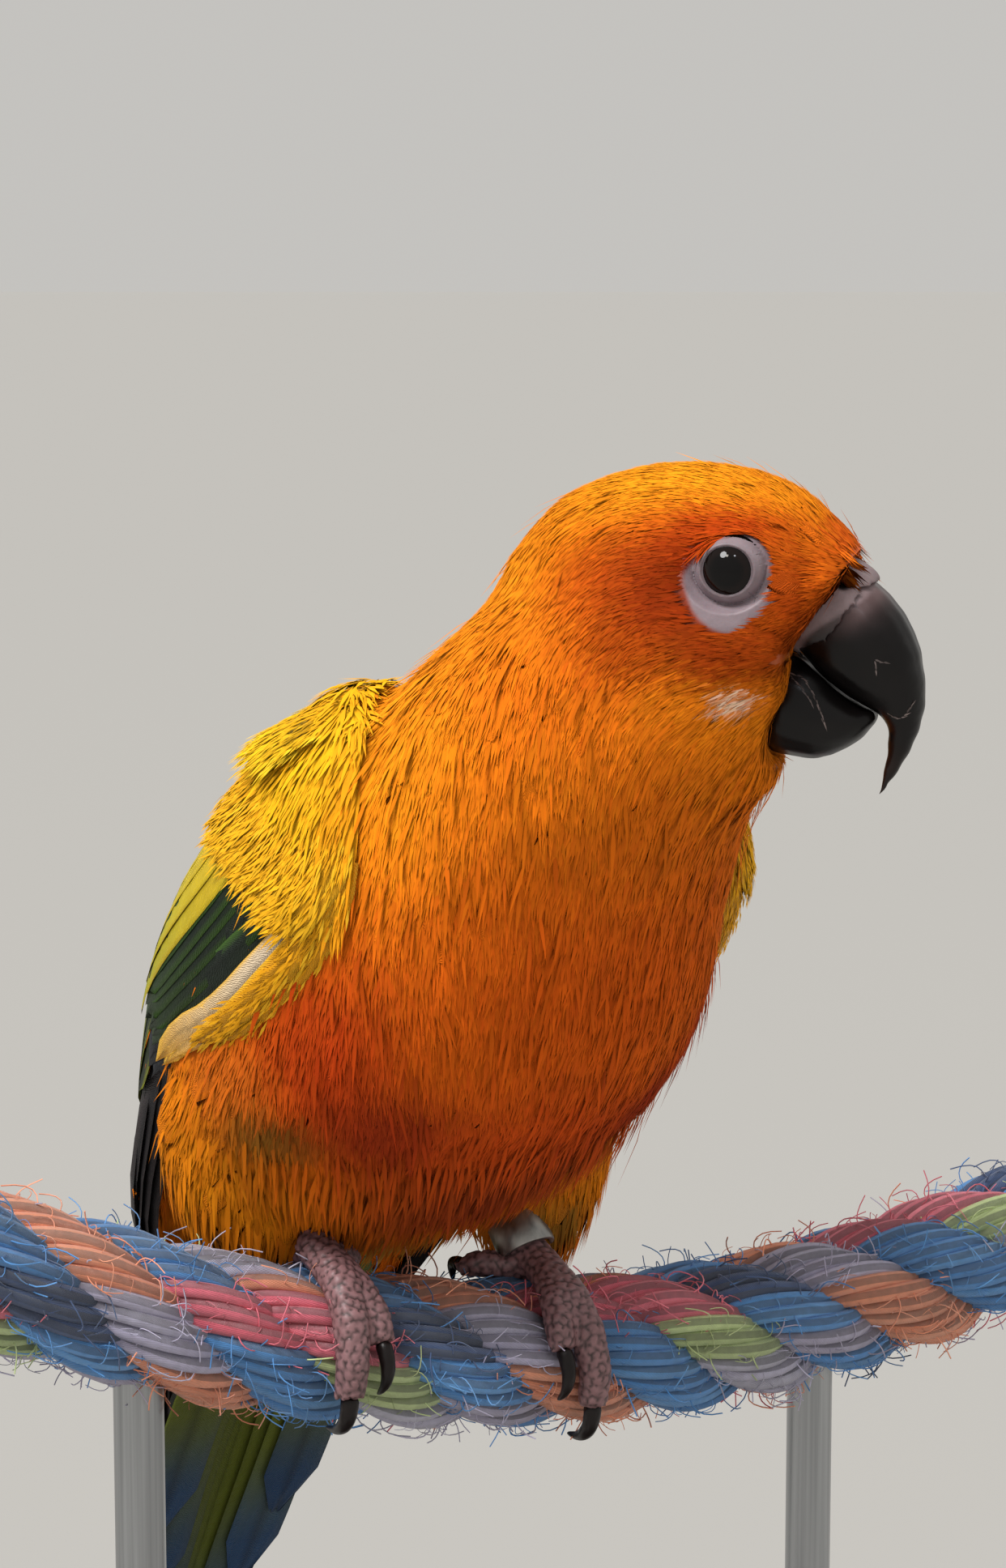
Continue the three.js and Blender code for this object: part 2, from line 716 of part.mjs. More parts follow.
addMesh(bird, "head", headAll, looks.crown);
addMesh(bird, "neck", largestPiece(neck), looks.crown);
addMesh(bird, "trunk", trunk, looks.breast);
addMesh(bird, "tail", tail, looks.tail);
addMesh(bird, "wing_right", wings[-1], looks.wing);
addMesh(bird, "wing_left", wings[1], looks.wing);
addMesh(bird, "thigh_right", thighs[-1], looks.thigh);
addMesh(bird, "thigh_left", thighs[1], looks.thigh);
addMesh(bird, "eye_right", eyeRight, looks.eye);
addMesh(bird, "eye_left", eyeLeft, looks.eye);
addMesh(bird, "bill_upper", billUpper, looks.bill);
addMesh(bird, "bill_lower", largestPiece(billLower), looks.bill);
addMesh(bird, "cere", largestPiece(cere), looks.cere);

for (const sign of [-1, 1]) {
  const sideName = sign < 0 ? "right" : "left";
  let foot = footSolid(sign).subtract(ropeClear).subtract(thighSolid(sign, g));
  foot = foot.subtract(fleshClear).subtract(bandSolid(g));
  for (const plan of toePlans) {
    const claw = clawSolid(sign, plan, 0).subtract(ropeClear);
    addMesh(bird, "claw" + plan.name.slice(3) + "_" + sideName, largestPiece(claw), looks.claw);
    foot = foot.subtract(clawSolid(sign, plan, g));
  }
  addMesh(bird, "foot_" + sideName, largestPiece(foot), looks.leg);
}

addMesh(bird, "leg_band", bandSolid(0), looks.band);

const rodRoom = rodSolid(-1, g).add(rodSolid(1, g)).translate([-BIRD_SHIFT, 0, -PERCH_HEIGHT]);
addMesh(bird, "perch_rope", largestPiece(rope.subtract(rodRoom)), looks.rope);

addMesh(stand, "stand_base", baseSolid(), looks.base);
addMesh(stand, "stand_rod_right", rodSolid(-1, 0), looks.rod);
addMesh(stand, "stand_rod_left", rodSolid(1, 0), looks.rod);
export default root;
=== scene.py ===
"""Looks of a sun conure on a short cotton rope perch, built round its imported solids."""

import logging
import math
from dataclasses import dataclass, field
from enum import Enum
from typing import Callable

import bmesh
import bpy
import numpy as np
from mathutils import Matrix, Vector
from mathutils.bvhtree import BVHTree
from mathutils.kdtree import KDTree


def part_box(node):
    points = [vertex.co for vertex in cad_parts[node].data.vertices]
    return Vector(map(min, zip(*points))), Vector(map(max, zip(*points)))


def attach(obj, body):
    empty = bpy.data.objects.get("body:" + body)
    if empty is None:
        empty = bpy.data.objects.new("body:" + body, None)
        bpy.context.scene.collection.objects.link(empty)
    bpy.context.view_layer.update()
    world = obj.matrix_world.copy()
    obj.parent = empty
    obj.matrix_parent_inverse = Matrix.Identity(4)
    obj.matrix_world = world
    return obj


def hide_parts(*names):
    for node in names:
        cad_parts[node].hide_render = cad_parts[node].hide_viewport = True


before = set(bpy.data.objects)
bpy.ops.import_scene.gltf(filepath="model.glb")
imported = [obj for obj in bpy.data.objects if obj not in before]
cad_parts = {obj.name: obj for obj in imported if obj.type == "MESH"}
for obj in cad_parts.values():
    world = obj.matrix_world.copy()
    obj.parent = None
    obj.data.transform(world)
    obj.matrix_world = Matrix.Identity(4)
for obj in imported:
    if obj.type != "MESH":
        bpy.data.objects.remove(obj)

log = logging.getLogger("sun_conure")
Array = np.ndarray

MM = 0.001
BIRD_ORIGIN = np.array((-10.0, 0.0, 112.0))
HEAD_POINT = np.array((14.0, -46.0, 99.9))
HEAD_TURN = math.radians(43)
HEAD_LEFT = np.array((math.cos(HEAD_TURN), math.sin(HEAD_TURN), 0.0))
HEAD_FORWARD = np.array((math.sin(HEAD_TURN), -math.cos(HEAD_TURN), 0.0))
HEAD_UP = np.array((0.0, 0.0, 1.0))
# The eyes' middles in the head, the balls' radius and the radius that the lids leave open.
EYE_SIDE = 10.6
EYE_FORWARD = 0.1
EYE_UP = 0.6
EYE_RADIUS = 3.9
LID_OPENING = 2.6
FOOT_SPREAD = 16.0
UV_MAP = "OFBake"
VANE_MAP = "Vane"
TINT = "tint"
TUFT_PATCH = 0.003


class Side(Enum):
    """The two sides of the bird."""

    RIGHT = -1
    LEFT = 1

    @property
    def word(self) -> str:
        """The side's name in lower case."""
        return self.name.lower()


# Places


def to_world(points: Array) -> Array:
    """Bird millimetres turned into metres in the shared frame."""
    return (np.asarray(points, float) + BIRD_ORIGIN) * MM


def to_bird(points: Array) -> Array:
    """Metres in the shared frame turned into bird millimetres."""
    return np.asarray(points, float) / MM - BIRD_ORIGIN


def to_head(points: Array) -> Array:
    """Bird millimetres turned into the head's side, forward and up."""
    away = np.asarray(points, float) - HEAD_POINT
    return np.stack([away @ HEAD_LEFT, away @ HEAD_FORWARD, away @ HEAD_UP], axis=-1)


def from_head(points: Array) -> Array:
    """Side, forward and up of the head turned into bird millimetres."""
    p = np.asarray(points, float)
    return (
        HEAD_POINT
        + p[..., 0:1] * HEAD_LEFT
        + p[..., 1:2] * HEAD_FORWARD
        + p[..., 2:3] * HEAD_UP
    )


def eye_reach(face: Array) -> Array:
    """Distance from the eye's middle seen from its side, a little more upwards than forwards."""
    return np.hypot(face[..., 1] - EYE_FORWARD, (face[..., 2] - EYE_UP) * 1.06)


def before_face(face: Array) -> Array:
    """How far a place of the head lies in front of the plane where the bill leaves the face."""
    return (face[..., 1] - 8.0) * 0.82 - (face[..., 2] + 5.8) * 0.57


def unit(vectors: Array) -> Array:
    """The vectors at length one."""
    return vectors / np.maximum(np.linalg.norm(vectors, axis=-1, keepdims=True), 1e-9)


def smooth(low: float, high: float, value: Array) -> Array:
    """A soft step from 0 at low to 1 at high."""
    t = np.clip((value - low) / (high - low), 0, 1)
    return t * t * (3 - 2 * t)


def colour(code: str) -> Array:
    """Turns an sRGB hex colour into linear red, green and blue."""
    raw = np.array([int(code[i : i + 2], 16) / 255 for i in (1, 3, 5)])
    return np.where(raw <= 0.04045, raw / 12.92, ((raw + 0.055) / 1.055) ** 2.4)


def rgba(code: str) -> tuple:
    """A hex colour as four linear numbers for a socket."""
    return (*colour(code), 1.0)


# Markings and painted shade


@dataclass(frozen=True)
class Patch:
    """A soft patch of plumage colour; on the underside some patches also carry painted shade.

    Args:
        at: Middle of the patch, as x, y, z of the bird or side, forward, up of the head.
        reach: Half sizes of the patch in millimetres.
        hue: Its sRGB hex colour.
        strength: How far it covers what lies under it.
        only: The one side it is on, or None for both.
    """

    at: tuple
    reach: tuple
    hue: str
    strength: float = 1.0
    only: Side | None = None

    def weight(self, points: Array) -> Array:
        """How strongly the patch shows at each point."""
        p = points.copy()
        if self.only is None:
            p[..., 0] = np.abs(p[..., 0])
        elif self.only is Side.RIGHT:
            p[..., 0] = -p[..., 0]
        away = (p - np.array(self.at)) / np.array(self.reach)
        return self.strength * np.exp(-((away**2).sum(-1) ** 1.5))


@dataclass(frozen=True)
class Markings:
    """The plumage colours by place, with painted shade on the underside, shared by the skin and the coat."""

    body: str = "#e26a10"
    body_patches: tuple = (
        Patch((0, -16, 98), (40, 22, 24), "#f58f16"),
        Patch((0, 6, 74), (30, 26, 34), "#f5a01a"),
        Patch((0, 30, 24), (24, 18, 22), "#efa01e"),
        Patch((22, -26, 78), (9, 16, 15), "#fb8f16"),
        Patch((10, -44, 76), (12, 9, 9), "#e87a12", 0.8),
        # From here down to the belly and the flanks the orange grows deeper and redder: partly the plumage's own
        # redder belly, partly painted shade of the underside that the top light leaves darker.
        Patch((0, -52, 66), (30, 18, 13), "#d4660f", 0.8),
        Patch((0, -40, 48), (28, 16, 18), "#d0560e"),
        Patch((0, -24, 31), (25, 18, 12), "#c84a10"),
        Patch((27, -22, 43), (9, 15, 15), "#b63c0c"),
        Patch((20, -24, 32), (9, 10, 9), "#8c2810", 0.9),
        Patch((0, -14, 20), (23, 15, 8.5), "#8a3410"),
        Patch((0, 14, 9), (16, 14, 12), "#c4841e"),
        Patch((22, 8, 28), (13, 15, 18), "#d2800f"),
        Patch((31, -6, 40), (5, 8, 5), "#c8641a", 0.7),
        Patch((27, -9, 33), (6, 7, 3.6), "#5a4c18", 0.8),
        Patch((23, -3, 14), (5, 5, 3.5), "#6a541c", 0.5),
        Patch((19, -2, 12), (6, 6, 5), "#4c4e20", 0.8, Side.LEFT),
    )
    head: str = "#f88f14"
    head_patches: tuple = (
        Patch((0, -16, -14), (20, 10, 14), "#f6981a"),
        Patch((0, 0, -20), (13, 14, 9), "#e8820f"),
        Patch((0, -6, 10), (15, 14, 7), "#ffa61a"),
        Patch((13, -3, 0), (8.5, 13, 8.5), "#a81e06"),
        Patch((14, -8, -2), (7.5, 8.5, 6.5), "#6c0602"),
        Patch((16, -12.5, -8.5), (7, 6.5, 5.5), "#7c1002"),
        Patch((15, -16, 0), (7, 6, 6), "#a02c06", 0.8),
        Patch((11, 8, -3), (7.5, 6, 7), "#780a02"),
        Patch((13, 0, -8.5), (7.5, 10, 4.4), "#6c0802"),
        Patch((11, 3, 5.4), (6, 9.5, 2.4), "#9c1604"),
        Patch((0, 4, 8.5), (8, 8, 3.6), "#ff9e18"),
        Patch((0, 11.5, 2.0), (8, 3.0, 3.5), "#f4601a"),
        Patch((12.6, 0.9, -14.0), (3.4, 1.9, 1.1), "#fbeed8", 1.0, Side.RIGHT),
    )
    wing: str = "#f8b41c"
    wing_low: str = "#e0981a"
    wing_edge: str = "#f58a16"
    wing_dark: str = "#242b1a"

    def __call__(self, points: Array, run: Array | None = None) -> Array:
        """The colour at each point of the body.

        Args:
            points: Places in bird millimetres.
            run: How far along a wing each place is, below 0 off the wings, or None.
        Returns:
            Linear colours.
        """
        face = to_head(points)
        on_body = np.broadcast_to(colour(self.body), points.shape).copy()
        for patch in self.body_patches:
            w = np.clip(patch.weight(points), 0, 1)[..., None]
            on_body = on_body * (1 - w) + colour(patch.hue) * w
        on_head = np.broadcast_to(colour(self.head), points.shape).copy()
        for patch in self.head_patches:
            w = np.clip(patch.weight(face), 0, 1)[..., None]
            on_head = on_head * (1 - w) + colour(patch.hue) * w
        near = np.exp(-(((face - np.array((0, -6, -5))) / np.array((19, 21, 19))) ** 2).sum(-1) ** 3)
        near = near[..., None]
        mixed = on_body * (1 - near) + on_head * near
        if run is None:
            return mixed
        low = smooth(0.08, 0.18, run)[..., None]
        yellow = colour(self.wing) * (1 - low) + colour(self.wing_low) * low
        dark = smooth(0.15, 0.19, run)[..., None]
        yellow = yellow * (1 - dark) + colour(self.wing_dark) * dark
        front = (smooth(-21, -25, points[..., 1]) * 0.5)[..., None]
        yellow = yellow * (1 - front) + colour(self.wing_edge) * front
        return np.where((run >= 0)[..., None], yellow, mixed)


MARKINGS_AND_SHADE = Markings()


# Meshes


def new_piece(name: str, points: Array, faces: Array, smooth_faces: bool = True) -> bpy.types.Object:
    """Makes a mesh object at the origin.

    Args:
        name: The piece's name.
        points: Vertices in bird millimetres.
        faces: An array of faces with three or four corners each.
        smooth_faces: True for soft shading.
    Returns:
        The object, linked to the scene.
    """
    mesh = bpy.data.meshes.new(name)
    count, corners = faces.shape
    mesh.vertices.add(len(points))
    mesh.vertices.foreach_set("co", to_world(points).astype(np.float32).ravel())
    mesh.loops.add(count * corners)
    mesh.loops.foreach_set("vertex_index", faces.astype(np.int32).ravel())
    mesh.polygons.add(count)
    mesh.polygons.foreach_set("loop_start", np.arange(0, count * corners, corners, dtype=np.int32))
    mesh.polygons.foreach_set("use_smooth", np.full(count, smooth_faces))
    mesh.update(calc_edges=True)
    piece = bpy.data.objects.new(name, mesh)
    bpy.context.scene.collection.objects.link(piece)
    return piece


def paint(piece: bpy.types.Object, tints: Array) -> None:
    """Stores one linear colour for each vertex under the tint attribute."""
    layer = piece.data.color_attributes.new(TINT, "FLOAT_COLOR", "POINT")
    full = np.ones((len(tints), 4), np.float32)
    full[:, :3] = tints
    layer.data.foreach_set("color", full.ravel())


def map_corners(piece: bpy.types.Object, name: str, by_vertex: Array) -> None:
    """Stores a UV map given as one place for each vertex."""
    mesh = piece.data
    layer = mesh.uv_layers.new(name=name)
    corner = np.zeros(len(mesh.loops), np.int32)
    mesh.loops.foreach_get("vertex_index", corner)
    layer.data.foreach_set("uv", by_vertex[corner].astype(np.float32).ravel())


def set_normals(piece: bpy.types.Object, normals: Array) -> None:
    """Gives each vertex its own shading normal."""
    piece.data.normals_split_custom_set_from_vertices(normals.astype(np.float32))


def points_of(mesh: bpy.types.Mesh) -> Array:
    """The mesh's vertices in bird millimetres."""
    raw = np.zeros(len(mesh.vertices) * 3)
    mesh.vertices.foreach_get("co", raw)
    return to_bird(raw.reshape(-1, 3))


def corners_of(mesh: bpy.types.Mesh) -> Array:
    """The mesh's faces as one array of vertex numbers, all of one corner count."""
    raw = np.zeros(len(mesh.loops), np.int32)
    mesh.loops.foreach_get("vertex_index", raw)
    return raw.reshape(len(mesh.polygons), -1)


def move_points(mesh: bpy.types.Mesh, points: Array) -> None:
    """Puts the mesh's vertices at new places given in bird millimetres."""
    mesh.vertices.foreach_set("co", to_world(points).astype(np.float32).ravel())
    mesh.update()


def normals_at(points: Array, faces: Array) -> Array:
    """Outward unit normals at the vertices."""
    total = np.zeros_like(points)
    first = points[faces[:, 0]]
    for k in range(1, faces.shape[1] - 1):
        around = np.cross(points[faces[:, k]] - first, points[faces[:, k + 1]] - first)
        for corner in (0, k, k + 1):
            np.add.at(total, faces[:, corner], around)
    return unit(total)


def neighbours_mean(values: Array, faces: Array) -> Array:
    """The mean of each vertex's neighbours along the face edges."""
    total = np.zeros_like(values)
    count = np.zeros(len(values))
    for k in range(faces.shape[1]):
        a, b = faces[:, k], faces[:, (k + 1) % faces.shape[1]]
        np.add.at(total, a, values[b])
        np.add.at(total, b, values[a])
        np.add.at(count, a, 1)
        np.add.at(count, b, 1)
    return total / np.maximum(count, 1).reshape((-1,) + (1,) * (values.ndim - 1))


def relax(values: Array, faces: Array, rounds: int, amount: float = 0.5) -> Array:
    """Smooths values over the surface for a number of rounds."""
    for _ in range(rounds):
        values = values + amount * (neighbours_mean(values, faces) - values)
    return values


def applied(piece: bpy.types.Object) -> None:
    """Replaces the object's mesh with its evaluated one and removes its modifiers."""
    bpy.context.view_layer.update()
    graph = bpy.context.evaluated_depsgraph_get()
    made = bpy.data.meshes.new_from_object(
        piece.evaluated_get(graph), preserve_all_data_layers=True, depsgraph=graph
    )
    piece.modifiers.clear()
    old = piece.data
    piece.data = made
    made.name = piece.name
    bpy.data.meshes.remove(old)


def joined_copy(name: str, nodes: list[str], grow: float = 0.0) -> bpy.types.Object:
    """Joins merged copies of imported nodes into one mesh.

    Args:
        name: Name of the new piece.
        nodes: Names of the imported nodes.
        grow: How far each copy swells, in millimetres.
    Returns:
        The joined piece.
    """
    whole = bmesh.new()
    for node in nodes:
        part = bmesh.new()
        part.from_mesh(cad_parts[node].data)
        bmesh.ops.remove_doubles(part, verts=part.verts, dist=1e-5)
        bmesh.ops.recalc_face_normals(part, faces=part.faces)
        part.normal_update()
        for vertex in part.verts:
            vertex.co += vertex.normal * grow * MM
        copy = bpy.data.meshes.new("copy")
        part.to_mesh(copy)
        part.free()
        whole.from_mesh(copy)
        bpy.data.meshes.remove(copy)
    mesh = bpy.data.meshes.new(name)
    whole.to_mesh(mesh)
    whole.free()
    piece = bpy.data.objects.new(name, mesh)
    bpy.context.scene.collection.objects.link(piece)
    return piece


def remeshed(piece: bpy.types.Object, voxel: float) -> None:
    """Rebuilds the piece as one closed, even mesh of quads.

    Args:
        piece: The piece to rebuild.
        voxel: Edge length in millimetres.
    """
    step = piece.modifiers.new("Even mesh", "REMESH")
    step.mode = "VOXEL"
    step.voxel_size = voxel * MM
    step.use_smooth_shade = True
    applied(piece)


def triangulated(piece: bpy.types.Object) -> None:
    """Cuts all faces of the piece into triangles."""
    work = bmesh.new()
    work.from_mesh(piece.data)
    bmesh.ops.triangulate(work, faces=work.faces)
    work.to_mesh(piece.data)
    work.free()
    piece.data.shade_smooth()


def settle(piece: bpy.types.Object, slot: str, *nodes: str) -> bpy.types.Object:
    """Fixes the piece to the body, hides the nodes it stands for, and logs it."""
    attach(piece, "root")
    if nodes:
        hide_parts(*nodes)
    faces = sum(len(p.vertices) - 2 for p in piece.data.polygons)
    log.info("%s: %d triangles", piece.name, faces)
    return piece


# Finishes


def add_node(tree: bpy.types.NodeTree, kind: str, links: dict | None = None, **settings) -> bpy.types.Node:
    """Adds one node.

    Args:
        tree: The node tree.
        kind: The node's type name.
        links: Input name or number, with a socket to link or a value to set.
        **settings: Properties of the node.
    Returns:
        The node.
    """
    node = tree.nodes.new(kind)
    for key, value in settings.items():
        setattr(node, key, value)
    for key, value in (links or {}).items():
        if isinstance(value, bpy.types.NodeSocket):
            tree.links.new(value, node.inputs[key])
        else:
            node.inputs[key].default_value = value
    return node


@dataclass(frozen=True)
class Finish:
    """What every finish has: a name and its plain shader numbers."""

    name: str
    roughness: float = 0.6
    sockets: tuple = ()

    def start(self) -> tuple:
        """Makes the material.

        Returns:
            The material, its tree and its shader node.
        """
        material = bpy.data.materials.new(self.name)
        material.use_nodes = True
        tree = material.node_tree
        shader = tree.nodes["Principled BSDF"]
        shader.inputs["Roughness"].default_value = self.roughness
        for key, value in self.sockets:
            shader.inputs[key].default_value = value
        return material, tree, shader


@dataclass(frozen=True)
class FeatherFinish(Finish):
    """Keratin vanes: fine barbs slant off the shaft, soft and dull, with a faint silky sheen."""

    barb_spacing: float = 0.34
    barb_slant: float = 1.1
    barb_depth: float = 0.10
    contrast: float = 0.16
    mottle: float = 0.10

    def make(self) -> bpy.types.Material:
        """Builds the material from the tint and the vane's own map."""
        material, tree, shader = self.start()
        tint = add_node(tree, "ShaderNodeAttribute", attribute_name=TINT)
        vane = add_node(tree, "ShaderNodeUVMap", uv_map=VANE_MAP)
        parts = add_node(tree, "ShaderNodeSeparateXYZ", {0: vane.outputs[0]})
        across = add_node(tree, "ShaderNodeMath", {0: parts.outputs[0]}, operation="ABSOLUTE")
        slant = add_node(
            tree, "ShaderNodeMath", {0: across.outputs[0], 1: -self.barb_slant, 2: parts.outputs[1]},
            operation="MULTIPLY_ADD",
        )
        cloudy_vane = {"Vector": vane.outputs[0], "Scale": 1.3, "Detail": 2.0}
        uneven = add_node(tree, "ShaderNodeTexNoise", cloudy_vane)
        wander = add_node(
            tree, "ShaderNodeMath", {0: uneven.outputs[0], 1: 0.9, 2: slant.outputs[0]},
            operation="MULTIPLY_ADD",
        )
        turns = add_node(
            tree, "ShaderNodeMath", {0: wander.outputs[0], 1: 2 * math.pi / self.barb_spacing},
            operation="MULTIPLY",
        )
        barbs = add_node(tree, "ShaderNodeMath", {0: turns.outputs[0]}, operation="SINE")
        place = add_node(tree, "ShaderNodeTexCoord")
        cloud = add_node(
            tree, "ShaderNodeTexNoise", {"Vector": place.outputs["Object"], "Scale": 420.0, "Detail": 3.0}
        )
        # The barbs' grooves are painted darker, as painted shade, and their crests a little lighter, as painted
        # light, from the same waves that drive the bump.
        shade = add_node(
            tree, "ShaderNodeMapRange",
            {0: barbs.outputs[0], 1: -1.0, 2: 1.0, 3: 1 - self.contrast, 4: 1 + self.contrast * 0.4},
        )
        cloudy = add_node(
            tree, "ShaderNodeMapRange",
            {0: cloud.outputs[0], 1: 0.3, 2: 0.7, 3: 1 - self.mottle, 4: 1 + self.mottle},
        )
        both = add_node(
            tree, "ShaderNodeMath", {0: shade.outputs[0], 1: cloudy.outputs[0]}, operation="MULTIPLY"
        )
        mixed = add_node(tree, "ShaderNodeVectorMath", {0: tint.outputs[0]}, operation="SCALE")
        tree.links.new(both.outputs[0], mixed.inputs["Scale"])
        tree.links.new(mixed.outputs[0], shader.inputs["Base Color"])
        bump = add_node(
            tree, "ShaderNodeBump",
            {"Height": barbs.outputs[0], "Strength": 0.55, "Distance": self.barb_depth * MM},
        )
        tree.links.new(bump.outputs[0], shader.inputs["Normal"])
        return material


@dataclass(frozen=True)
class TintedFinish(Finish):
    """A surface that takes its colour from its tint, broken up by fine grain."""

    grain: float = 2500.0
    depth: float = 0.05
    mottle: float = 0.12
    cells: bool = False

    def make(self) -> bpy.types.Material:
        """Builds the material from the tint and grain in object space."""
        material, tree, shader = self.start()
        tint = add_node(tree, "ShaderNodeAttribute", attribute_name=TINT)
        place = add_node(tree, "ShaderNodeTexCoord")
        kind = "ShaderNodeTexVoronoi" if self.cells else "ShaderNodeTexNoise"
        grain = add_node(tree, kind, {"Vector": place.outputs["Object"], "Scale": self.grain})
        cloud = add_node(
            tree, "ShaderNodeTexNoise",
            {"Vector": place.outputs["Object"], "Scale": self.grain * 0.3, "Detail": 4.0},
        )
        shade = add_node(
            tree, "ShaderNodeMapRange",
            {0: cloud.outputs[0], 1: 0.3, 2: 0.7, 3: 1 - self.mottle, 4: 1 + self.mottle},
        )
        mixed = add_node(tree, "ShaderNodeVectorMath", {0: tint.outputs[0]}, operation="SCALE")
        tree.links.new(shade.outputs[0], mixed.inputs["Scale"])
        tree.links.new(mixed.outputs[0], shader.inputs["Base Color"])
        if self.depth:
            bump = add_node(
                tree, "ShaderNodeBump",
                {"Height": grain.outputs[0], "Strength": 0.6, "Distance": self.depth * MM},
            )
            tree.links.new(bump.outputs[0], shader.inputs["Normal"])
        return material


@dataclass(frozen=True)
class CottonFinish(Finish):
    """Spun cotton yarn: fine fibres twist round each yarn, matt and a little fuzzy."""

    fibre_spacing: float = 0.42
    depth: float = 0.12

    def make(self) -> bpy.types.Material:
        """Builds the material from the tint and the yarn's own map."""
        material, tree, shader = self.start()
        tint = add_node(tree, "ShaderNodeAttribute", attribute_name=TINT)
        vane = add_node(tree, "ShaderNodeAttribute", attribute_name="lay")
        parts = add_node(tree, "ShaderNodeSeparateXYZ", {0: vane.outputs["Vector"]})
        twist = add_node(
            tree, "ShaderNodeMath", {0: parts.outputs[0], 1: 2.2, 2: parts.outputs[1]},
            operation="MULTIPLY_ADD",
        )
        turns = add_node(
            tree, "ShaderNodeMath", {0: twist.outputs[0], 1: 2 * math.pi / self.fibre_spacing},
            operation="MULTIPLY",
        )
        waves = add_node(tree, "ShaderNodeMath", {0: turns.outputs[0]}, operation="SINE")
        place = add_node(tree, "ShaderNodeTexCoord")
        fluff = add_node(
            tree, "ShaderNodeTexNoise", {"Vector": place.outputs["Object"], "Scale": 900.0, "Detail": 5.0}
        )
        height = add_node(
            tree, "ShaderNodeMath", {0: waves.outputs[0], 1: 0.35, 2: fluff.outputs[0]},
            operation="MULTIPLY_ADD",
        )
        # The grooves between the fibres are painted darker, as painted shade, and their crests lighter, as painted
        # light, from the same height that drives the bump.
        shade = add_node(tree, "ShaderNodeMapRange", {0: height.outputs[0], 1: 0.1, 2: 0.9, 3: 0.72, 4: 1.12})
        mixed = add_node(tree, "ShaderNodeVectorMath", {0: tint.outputs[0]}, operation="SCALE")
        tree.links.new(shade.outputs[0], mixed.inputs["Scale"])
        tree.links.new(mixed.outputs[0], shader.inputs["Base Color"])
        bump = add_node(
            tree, "ShaderNodeBump",
            {"Height": height.outputs[0], "Strength": 0.9, "Distance": self.depth * MM},
        )
        tree.links.new(bump.outputs[0], shader.inputs["Normal"])
        return material


@dataclass(frozen=True)
class GrainFinish(Finish):
    """A made surface with a stretched grain: lacquered wood or brushed metal."""

    dark: str = "#2a2523"
    light: str = "#4a413b"
    stretch: tuple = (20.0, 300.0, 300.0)
    depth: float = 0.02

    def make(self) -> bpy.types.Material:
        """Builds the material from noise stretched along the grain."""
        material, tree, shader = self.start()
        place = add_node(tree, "ShaderNodeTexCoord")
        along = add_node(tree, "ShaderNodeMapping", {0: place.outputs["Object"], "Scale": self.stretch})
        grain = add_node(
            tree, "ShaderNodeTexNoise", {"Vector": along.outputs[0], "Scale": 1.0, "Detail": 6.0}
        )
        ramp = add_node(tree, "ShaderNodeValToRGB", {0: grain.outputs[0]})
        ramp.color_ramp.elements[0].position = 0.35
        ramp.color_ramp.elements[1].position = 0.68
        ramp.color_ramp.elements[0].color = rgba(self.dark)
        ramp.color_ramp.elements[1].color = rgba(self.light)
        tree.links.new(ramp.outputs[0], shader.inputs["Base Color"])
        rough = add_node(
            tree, "ShaderNodeMapRange",
            {0: grain.outputs[0], 1: 0.3, 2: 0.7, 3: self.roughness * 0.8, 4: self.roughness * 1.25},
        )
        tree.links.new(rough.outputs[0], shader.inputs["Roughness"])
        bump = add_node(
            tree, "ShaderNodeBump", {"Height": grain.outputs[0], "Strength": 0.3, "Distance": self.depth * MM}
        )
        tree.links.new(bump.outputs[0], shader.inputs["Normal"])
        return material


# Skin


